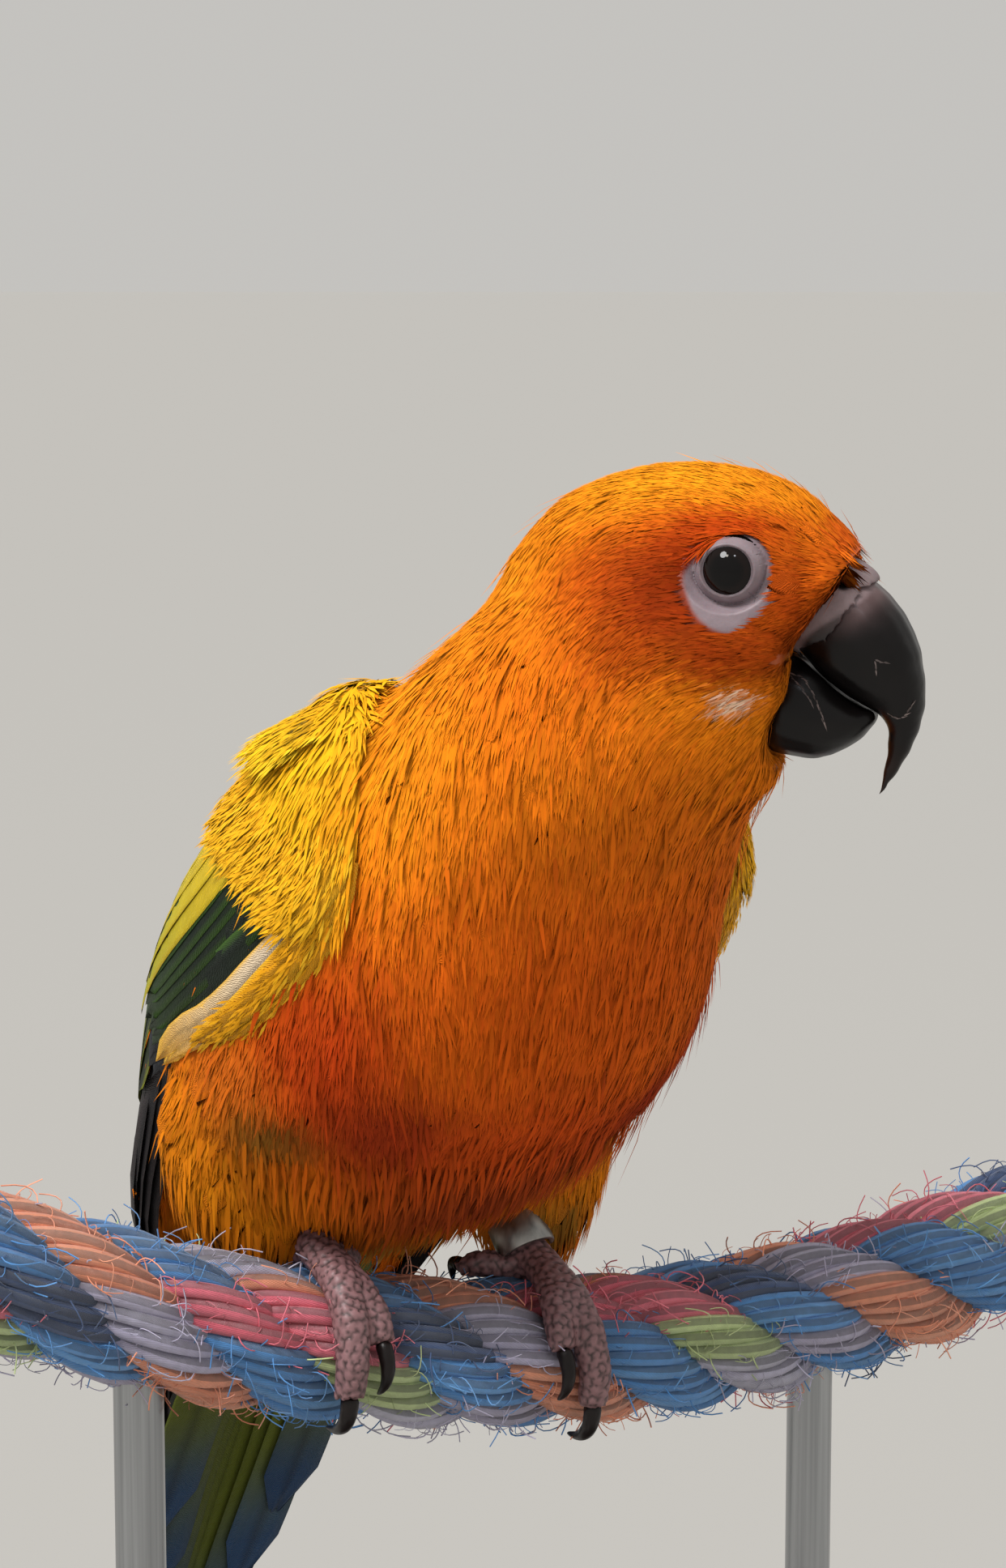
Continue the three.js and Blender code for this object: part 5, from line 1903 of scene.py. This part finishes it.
@dataclass
class LegBand:
    """A plain flat ring of dull metal round the left shank, with rounded edges."""

    inner: float = 3.0
    outer: float = 3.7
    height: float = 4.4
    spokes: int = 64

    def build(self, material: bpy.types.Material) -> None:
        """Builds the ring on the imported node's middle and axis."""
        spots = points_of(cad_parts["leg_band"].data)
        middle = (spots.max(0) + spots.min(0)) / 2
        lean = -0.2 * FOOT_SPREAD + 0.0022 * FOOT_SPREAD**2
        low = np.array((16.0, -math.sin(math.radians(-4)) * 12.0, lean + math.cos(math.radians(4)) * 12.0))
        axis = unit(np.array((15.6, 4.8, 17 + lean)) - low)
        side = unit(np.cross(axis, np.array((0, 1.0, 0))))
        front = np.cross(axis, side)
        h, e = self.height / 2, 0.18
        profile = [
            (self.outer, -h + e), (self.outer, h - e), (self.outer - e * 0.5, h - e * 0.2), (self.outer - e, h),
            (self.inner + e, h), (self.inner + e * 0.4, h - e * 0.3), (self.inner, h - e), (self.inner, -h + e),
            (self.inner + e * 0.4, -h + e * 0.3), (self.inner + e, -h), (self.outer - e, -h),
            (self.outer - e * 0.5, -h + e * 0.2),
        ]
        points = []
        for k in range(self.spokes):
            angle = 2 * math.pi * k / self.spokes
            out = math.cos(angle) * side + math.sin(angle) * front
            points += [middle + out * r + axis * z for r, z in profile]
        n = len(profile)
        faces = []
        for k in range(self.spokes):
            j = (k + 1) % self.spokes
            for i in range(n):
                a = (i + 1) % n
                faces.append((k * n + i, j * n + i, j * n + a, k * n + a))
        faces = np.array(faces)
        points = np.array(points)
        outward = (normals_at(points, faces)[0] * (points[0] - middle)).sum() > 0
        piece = new_piece("leg_band_ring", points, faces if outward else faces[:, ::-1])
        piece.data.materials.append(material)
        settle(piece, "band_metal", "leg_band")


# Perch


def rope_height(along: Array) -> Array:
    """Height of the rope's middle at a distance along it."""
    return -0.2 * along + 0.0022 * along**2


@dataclass
class Rope:
    """Four laid strands, each of a dozen cotton yarns in groups of colour, with loose fibres."""

    right_end: float = -66.0
    left_end: float = 97.0
    pitch: float = 56.0
    orbit: float = 4.9
    strand_radius: float = 4.7
    yarns: int = 12
    yarn_radius: float = 1.06
    yarn_pitch: float = -46.0
    steps: int = 150
    palettes: tuple = (
        ("#5b9bdc", "#5b9bdc", "#69a6e2", "#4f8fd0", "#5b9bdc", "#69a6e2", "#4f8fd0", "#5b9bdc", "#f0788a", "#f0788a",
         "#ea6c7e", "#5b9bdc"),
        ("#fba582", "#fcae8c", "#f99f7a", "#fcae8c", "#fba582", "#f99f7a", "#c3bdd6", "#c6c2da", "#bab5cf", "#c3bdd6",
         "#fba582", "#f99f7a"),
        ("#69a6e2", "#4f8fd0", "#5b9bdc", "#40557c", "#40557c", "#4a5f88", "#5b9bdc", "#69a6e2", "#5b9bdc", "#c3bdd6",
         "#c3bdd6", "#4f8fd0"),
        ("#f0788a", "#f48090", "#f0788a", "#d6e8a4", "#cfe29c", "#d6e8a4", "#c9c6d8", "#c2bed4", "#c9c6d8", "#c2bed4",
         "#fba582", "#f0788a"),
    )

    def _yarn_lines(self, strand: int) -> tuple:
        """Middle lines and colours of one strand's yarns."""
        along = np.linspace(self.right_end + 0.8, self.left_end - 0.8, self.steps)
        turn = 2 * math.pi * (along / self.pitch + strand / 4)
        out = np.stack([np.zeros_like(turn), np.cos(turn), np.sin(turn)], -1)
        centre = np.stack([along, np.zeros_like(along), rope_height(along)], -1)
        middle = centre + out * self.orbit
        ahead = unit(np.gradient(middle, axis=0))
        beside = unit(np.cross(ahead, out))
        rng = np.random.default_rng(40 + strand)
        lines, tints = [], []
        for k in range(self.yarns):
            spin = 2 * math.pi * (k / self.yarns + along / self.yarn_pitch) - turn
            wobble = 1 + 0.05 * np.sin(along / rng.uniform(3, 5) + rng.uniform(0, 6))
            reach = (self.strand_radius - self.yarn_radius + 0.1) * wobble
            round_ = out * np.cos(spin)[:, None] + beside * np.sin(spin)[:, None]
            lines.append(middle + round_ * reach[:, None])
            fade = 1 + 0.08 * np.sin(along / rng.uniform(6, 11) + rng.uniform(0, 6))
            tints.append(colour(self.palettes[strand][k])[None, :] * fade[:, None] * rng.normal(1, 0.06))
        return np.array(lines), np.array(tints)

    def _tree(self, material: bpy.types.Material) -> bpy.types.NodeTree:
        """The node tree that sweeps yarns along lines and sets fibres on them."""
        tree = bpy.data.node_groups.new("Cotton strand", "GeometryNodeTree")
        face = tree.interface
        face.new_socket(name="Lines", in_out="INPUT", socket_type="NodeSocketGeometry")
        for name in ("Yarn radius", "Fibre density", "Fibre length", "Fibre radius"):
            face.new_socket(name=name, in_out="INPUT", socket_type="NodeSocketFloat")
        face.new_socket(name="Seed", in_out="INPUT", socket_type="NodeSocketInt")
        face.new_socket(name="Strand", in_out="OUTPUT", socket_type="NodeSocketGeometry")
        into = add_node(tree, "NodeGroupInput")
        curve = add_node(tree, "GeometryNodeMeshToCurve", {0: into.outputs["Lines"]})
        along = add_node(tree, "GeometryNodeSplineParameter")
        kept = add_node(
            tree, "GeometryNodeStoreNamedAttribute",
            {"Geometry": curve.outputs[0], "Name": "run", "Value": along.outputs["Length"]},
            data_type="FLOAT", domain="POINT",
        )
        ring = add_node(
            tree, "GeometryNodeCurvePrimitiveCircle",
            {"Resolution": 7, "Radius": into.outputs["Yarn radius"]},
        )
        ring_part = add_node(tree, "GeometryNodeSplineParameter")
        ring_kept = add_node(
            tree, "GeometryNodeStoreNamedAttribute",
            {"Geometry": ring.outputs[0], "Name": "turn", "Value": ring_part.outputs["Factor"]},
            data_type="FLOAT", domain="POINT",
        )
        swept = add_node(
            tree, "GeometryNodeCurveToMesh",
            {"Curve": kept.outputs[0], "Profile Curve": ring_kept.outputs[0], "Fill Caps": True},
        )
        soft = add_node(tree, "GeometryNodeSetShadeSmooth", {"Geometry": swept.outputs[0]})
        run = add_node(tree, "GeometryNodeInputNamedAttribute", {"Name": "run"}, data_type="FLOAT")
        turn = add_node(tree, "GeometryNodeInputNamedAttribute", {"Name": "turn"}, data_type="FLOAT")
        run_mm = add_node(tree, "ShaderNodeMath", {0: run.outputs[0], 1: 1 / MM}, operation="MULTIPLY")
        turn_mm = add_node(tree, "ShaderNodeMath", {0: turn.outputs[0], 1: 6.6}, operation="MULTIPLY")
        lay = add_node(tree, "ShaderNodeCombineXYZ", {0: turn_mm.outputs[0], 1: run_mm.outputs[0]})
        laid = add_node(
            tree, "GeometryNodeStoreNamedAttribute",
            {"Geometry": soft.outputs[0], "Name": "lay", "Value": lay.outputs[0]},
            data_type="FLOAT_VECTOR", domain="POINT",
        )
        spread = add_node(
            tree, "GeometryNodeDistributePointsOnFaces",
            {"Mesh": laid.outputs[0], "Density": into.outputs["Fibre density"], "Seed": into.outputs["Seed"]},
        )
        line = add_node(
            tree, "GeometryNodeCurvePrimitiveBezierSegment",
            {"Resolution": 5, "Start": (0, 0, 0),
             "Start Handle": (0.0, 0.0, 0.35), "End Handle": (0.25, 0.1, 0.45),
             "End": (0.8, 0.25, 0.32)},
        )
        thin = add_node(tree, "GeometryNodeCurvePrimitiveCircle", {"Resolution": 3, "Radius": 0.02})
        hair = add_node(
            tree, "GeometryNodeCurveToMesh",
            {"Curve": line.outputs[0], "Profile Curve": thin.outputs[0], "Fill Caps": True},
        )
        spin = add_node(
            tree, "FunctionNodeRandomValue",
            {"Min": (0.0, 0.0, 0.0), "Max": (0.5, 0.5, 6.283), "Seed": into.outputs["Seed"]},
            data_type="FLOAT_VECTOR",
        )
        turned = add_node(
            tree, "FunctionNodeRotateRotation",
            {0: spread.outputs["Rotation"], 1: spin.outputs[0]}, rotation_space="LOCAL",
        )
        size = add_node(
            tree, "FunctionNodeRandomValue", {2: 0.35, 3: 1.0, "Seed": into.outputs["Seed"]},
            data_type="FLOAT",
        )
        scaled = add_node(
            tree, "ShaderNodeMath", {0: size.outputs[1], 1: into.outputs["Fibre length"]},
            operation="MULTIPLY",
        )
        placed = add_node(
            tree, "GeometryNodeInstanceOnPoints",
            {"Points": spread.outputs["Points"], "Instance": hair.outputs[0], "Rotation": turned.outputs[0],
             "Scale": scaled.outputs[0]},
        )
        both = add_node(tree, "GeometryNodeJoinGeometry")
        tree.links.new(laid.outputs[0], both.inputs[0])
        tree.links.new(placed.outputs[0], both.inputs[0])
        real = add_node(tree, "GeometryNodeRealizeInstances", {0: both.outputs[0]})
        done = add_node(tree, "GeometryNodeSetMaterial", {"Geometry": real.outputs[0], "Material": material})
        add_node(tree, "NodeGroupOutput", {"Strand": done.outputs[0]})
        return tree

    def build(self, material: bpy.types.Material) -> None:
        """Builds the four strands."""
        tree = self._tree(material)
        for strand in range(4):
            lines, tints = self._yarn_lines(strand)
            number, steps, _ = lines.shape
            mesh = bpy.data.meshes.new(f"rope_strand_{strand + 1}")
            edges = [(k * steps + i, k * steps + i + 1) for k in range(number) for i in range(steps - 1)]
            mesh.from_pydata(to_world(lines.reshape(-1, 3)).tolist(), edges, [])
            piece = bpy.data.objects.new(mesh.name, mesh)
            bpy.context.scene.collection.objects.link(piece)
            paint(piece, np.clip(tints.reshape(-1, 3), 0, 1))
            step = piece.modifiers.new("Cotton strand", "NODES")
            step.node_group = tree
            wanted = {
                "Yarn radius": self.yarn_radius * MM,
                "Fibre density": 120000.0,
                "Fibre length": 5.5 * MM,
                "Fibre radius": 0.05 * MM,
                "Seed": strand + 1,
            }
            for item in tree.interface.items_tree:
                if item.in_out == "INPUT" and item.name in wanted:
                    step[item.identifier] = wanted[item.name]
            applied(piece)
            settle(piece, "rope_cotton", *(["perch_rope"] if strand == 0 else []))


# Stand


@dataclass
class Stand:
    """A flat lacquered base and two brushed steel rods that reach up into the rope."""

    length: float = 160.0
    depth: float = 116.0
    thickness: float = 8.0
    corner: float = 14.0
    edge: float = 1.5
    corner_steps: int = 14

    def _outline(self, inset: float) -> Array:
        """The base's rounded outline, drawn in by an inset."""
        x, y, r = self.length / 2, self.depth / 2, self.corner
        spots = []
        corners = ((x - r, -y + r, -90), (x - r, y - r, 0), (-x + r, y - r, 90), (-x + r, -y + r, 180))
        for cx, cy, start in corners:
            for k in range(self.corner_steps + 1):
                a = math.radians(start + 90 * k / self.corner_steps)
                spots.append((cx + math.cos(a) * (r - inset), cy + math.sin(a) * (r - inset)))
        return np.array(spots)

    def build_base(self, material: bpy.types.Material) -> None:
        """Builds the base with a rounded upper edge."""
        levels = [(0.35, 0.0), (0.0, 0.35)]
        for k in range(7):
            a = math.pi / 2 * k / 6
            levels.append((self.edge * (1 - math.cos(a)), self.thickness - self.edge * (1 - math.sin(a))))
        count = (self.corner_steps + 1) * 4
        rings = [np.column_stack([self._outline(i), np.full(count, z)]) for i, z in levels]
        n = len(rings[0])
        points = list(np.concatenate(rings))
        faces = []
        for r in range(len(rings) - 1):
            for k in range(n):
                j = (k + 1) % n
                faces.append((r * n + k, r * n + j, (r + 1) * n + j))
                faces.append((r * n + k, (r + 1) * n + j, (r + 1) * n + k))
        points += [np.array((0, 0, 0.0)), np.array((0, 0, self.thickness))]
        low, high = len(points) - 2, len(points) - 1
        top = (len(rings) - 1) * n
        for k in range(n):
            j = (k + 1) % n
            faces.append((low, j, k))
            faces.append((high, top + k, top + j))
        piece = new_piece("stand_base_wood", np.array(points) - BIRD_ORIGIN, np.array(faces), False)
        piece.data.materials.append(material)
        settle(piece, "base_lacquer", "stand_base")

    def build_rod(self, side: Side, material: bpy.types.Material) -> None:
        """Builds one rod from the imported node's box."""
        low, high = (np.array(c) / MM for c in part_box(f"stand_rod_{side.word}"))
        middle = (low + high) / 2
        radius = (high[0] - low[0]) / 2
        levels = [(radius - 0.3, low[2]), (radius, low[2] + 0.3)]
        for k in range(1, 24):
            levels.append((radius, low[2] + (high[2] - low[2]) * k / 24))
        levels += [(radius, high[2] - 0.3), (radius - 0.3, high[2])]
        spokes = 48
        points, faces = [], []
        for r, z in levels:
            for k in range(spokes):
                a = 2 * math.pi * k / spokes
                points.append((middle[0] + r * math.cos(a), middle[1] + r * math.sin(a), z))
        for r in range(len(levels) - 1):
            for k in range(spokes):
                j = (k + 1) % spokes
                faces.append((r * spokes + k, r * spokes + j, (r + 1) * spokes + j))
                faces.append((r * spokes + k, (r + 1) * spokes + j, (r + 1) * spokes + k))
        points += [(middle[0], middle[1], low[2]), (middle[0], middle[1], high[2])]
        top = (len(levels) - 1) * spokes
        for k in range(spokes):
            j = (k + 1) % spokes
            faces.append((len(points) - 2, j, k))
            faces.append((len(points) - 1, top + k, top + j))
        piece = new_piece(f"stand_rod_steel_{side.word}", np.array(points) - BIRD_ORIGIN, np.array(faces))
        piece.data.materials.append(material)
        settle(piece, "rod_steel", f"stand_rod_{side.word}")


# Studio


@dataclass
class Studio:
    """Pale floor, soft lights and the camera at the photograph's angle."""

    azimuth: float = math.radians(-33)
    elevation: float = math.radians(8)
    distance: float = 0.440
    aim: tuple = (-0.002, -0.005, 0.183)
    focal_pixels: float = 4480.0
    long_side: float = 1936.0
    sun_strength: float = 2.65
    world_strength: float = 0.79

    def _lamp(self, name: str, place: tuple, size: float, power: float, hue: str) -> None:
        """Adds a soft square light that faces the bird."""
        data = bpy.data.lights.new(name, "AREA")
        data.size = size
        data.energy = power
        data.color = colour(hue)
        lamp = bpy.data.objects.new(name, data)
        bpy.context.scene.collection.objects.link(lamp)
        lamp.location = place
        aim = Vector((-0.01, -0.02, 0.17))
        lamp.rotation_mode = "QUATERNION"
        lamp.rotation_quaternion = (aim - Vector(place)).to_track_quat("-Z", "Y")

    def _sun(self, heading: Vector, strength: float) -> None:
        """Adds broad even light from one direction, which leaves the far floor evenly lit."""
        data = bpy.data.lights.new("broad light", "SUN")
        data.angle = math.radians(20)
        data.energy = strength
        lamp = bpy.data.objects.new("broad light", data)
        bpy.context.scene.collection.objects.link(lamp)
        lamp.rotation_mode = "QUATERNION"
        lamp.rotation_quaternion = heading.to_track_quat("-Z", "Y")

    def build(self) -> None:
        """Builds floor, lights, world and camera."""
        size = 60.0
        mesh = bpy.data.meshes.new("floor")
        corners = [(-size, -size, 0), (size, -size, 0), (size, size, 0), (-size, size, 0)]
        mesh.from_pydata(corners, [], [(0, 1, 2, 3)])
        floor = bpy.data.objects.new("floor", mesh)
        bpy.context.scene.collection.objects.link(floor)
        material = bpy.data.materials.new("Pale matt paper")
        material.use_nodes = True
        shader = material.node_tree.nodes["Principled BSDF"]
        shader.inputs["Base Color"].default_value = rgba("#b4b2ae")
        shader.inputs["Roughness"].default_value = 0.9
        shader.inputs["Specular IOR Level"].default_value = 0.1
        mesh.materials.append(material)

        world = bpy.data.worlds.new("Studio")
        bpy.context.scene.world = world
        world.use_nodes = True
        backing = world.node_tree.nodes["Background"]
        backing.inputs["Color"].default_value = rgba("#dad8d4")
        backing.inputs["Strength"].default_value = self.world_strength
        bpy.context.scene.view_settings.view_transform = "Standard"

        a, e = self.azimuth, self.elevation
        back = Vector((math.sin(a) * math.cos(e), -math.cos(a) * math.cos(e), math.sin(e)))
        right = Vector((math.cos(a), math.sin(a), 0))
        up = Vector((0, 0, 1))
        aim = Vector(self.aim)
        self._sun(-(back * 0.55 - right * 0.55 + up * 0.9), self.sun_strength)
        self._lamp("left glint", tuple(aim + back * 0.55 - right * 0.20 + up * 0.62), 0.10, 0.9, "#fff6ea")
        self._lamp("right glint", tuple(aim + back * 0.60 + right * 0.16 + up * 0.62), 0.07, 0.5, "#f4f6ff")

        data = bpy.data.cameras.new("camera")
        data.sensor_width = 36.0
        data.lens = self.focal_pixels / self.long_side * 36.0
        data.clip_start = 0.01
        data.clip_end = 50.0
        camera = bpy.data.objects.new("camera", data)
        bpy.context.scene.collection.objects.link(camera)
        camera.location = aim + back * self.distance
        camera.rotation_mode = "QUATERNION"
        camera.rotation_quaternion = (-back).to_track_quat("-Z", "Y")
        bpy.context.scene.camera = camera


def main() -> None:
    """Builds the bird, its perch, the stand and the studio."""
    logging.basicConfig(level=logging.INFO, format="%(message)s")
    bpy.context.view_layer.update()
    Studio().build()

    # Contour feathers: soft keratin barbs, dull with a faint sheen, give the eye a silky, lined surface.
    contour = FeatherFinish(
        "Feather keratin, contour", 0.8, (("Specular IOR Level", 0.08),)
    ).make()
    # Loose barbs: the same keratin as fine threads, so matt that the coat looks like velvet.
    barb = TintedFinish(
        "Feather keratin, barbs", 0.85, (("Specular IOR Level", 0.08),), grain=700.0, depth=0.0, mottle=0.06
    ).make()
    # Flight feathers: tighter zipped vanes, smoother and glossier than the body's.
    flight = FeatherFinish(
        "Feather keratin, flight", 0.55, (("Specular IOR Level", 0.2),), barb_spacing=0.4, contrast=0.12,
        mottle=0.05,
    ).make()
    # Living bare skin: pale, finely pored, with a soft damp light on it.
    bare = TintedFinish(
        "Bare skin", 0.5, (("Subsurface Weight", 0.12), ("Subsurface Scale", 0.001)),
        grain=3200.0, mottle=0.08,
    ).make()
    # Scaly horn skin of the feet: dry, satin on each scale.
    scaly = TintedFinish("Scaly foot skin", 0.48, (), grain=2600.0, mottle=0.15).make()
    # Beak horn: polished black keratin with worn duller streaks.
    horn = TintedFinish(
        "Beak horn", 0.33, (("Specular IOR Level", 0.25),), grain=900.0, depth=0.04, mottle=0.3
    ).make()
    # Wet cornea over a dark iris: mirror-smooth, so the lights show as small points.
    wet = TintedFinish("Wet cornea", 0.05, (("Specular IOR Level", 0.2),), depth=0.0).make()
    cotton = CottonFinish("Dyed cotton yarn", 0.9, (("Sheen Weight", 0.3),)).make()
    steel = GrainFinish(
        "Brushed stainless steel", 0.32, (("Metallic", 1.0),), dark="#8f9193", light="#b4b6b8",
        stretch=(900.0, 900.0, 12.0), depth=0.01,
    ).make()
    lacquer = GrainFinish("Lacquered hardwood", 0.38, (("Coat Weight", 0.4), ("Coat Roughness", 0.2))).make()
    dull_metal = GrainFinish(
        "Dull aluminium", 0.42, (("Metallic", 1.0),), dark="#8c8b88", light="#b5b3ae",
        stretch=(700.0, 700.0, 200.0), depth=0.02,
    ).make()

    skin = Skin()
    skin.build()
    skin.dress(bare)
    coat = Coat(skin)
    coat.build(coat_plans(), contour)
    Barbs(coat).build(barb)
    for side in Side:
        Wing(side, skin).build(flight, barb)
        Eye(side).build(wet)
        Feet().build(side, scaly, horn)
    Tail(skin).build(flight)
    Bill().build(horn, bare)
    LegBand().build(dull_metal)
    Rope().build(cotton)
    stand = Stand()
    stand.build_base(lacquer)
    for side in Side:
        stand.build_rod(side, steel)


if __name__ == "__main__":
    main()
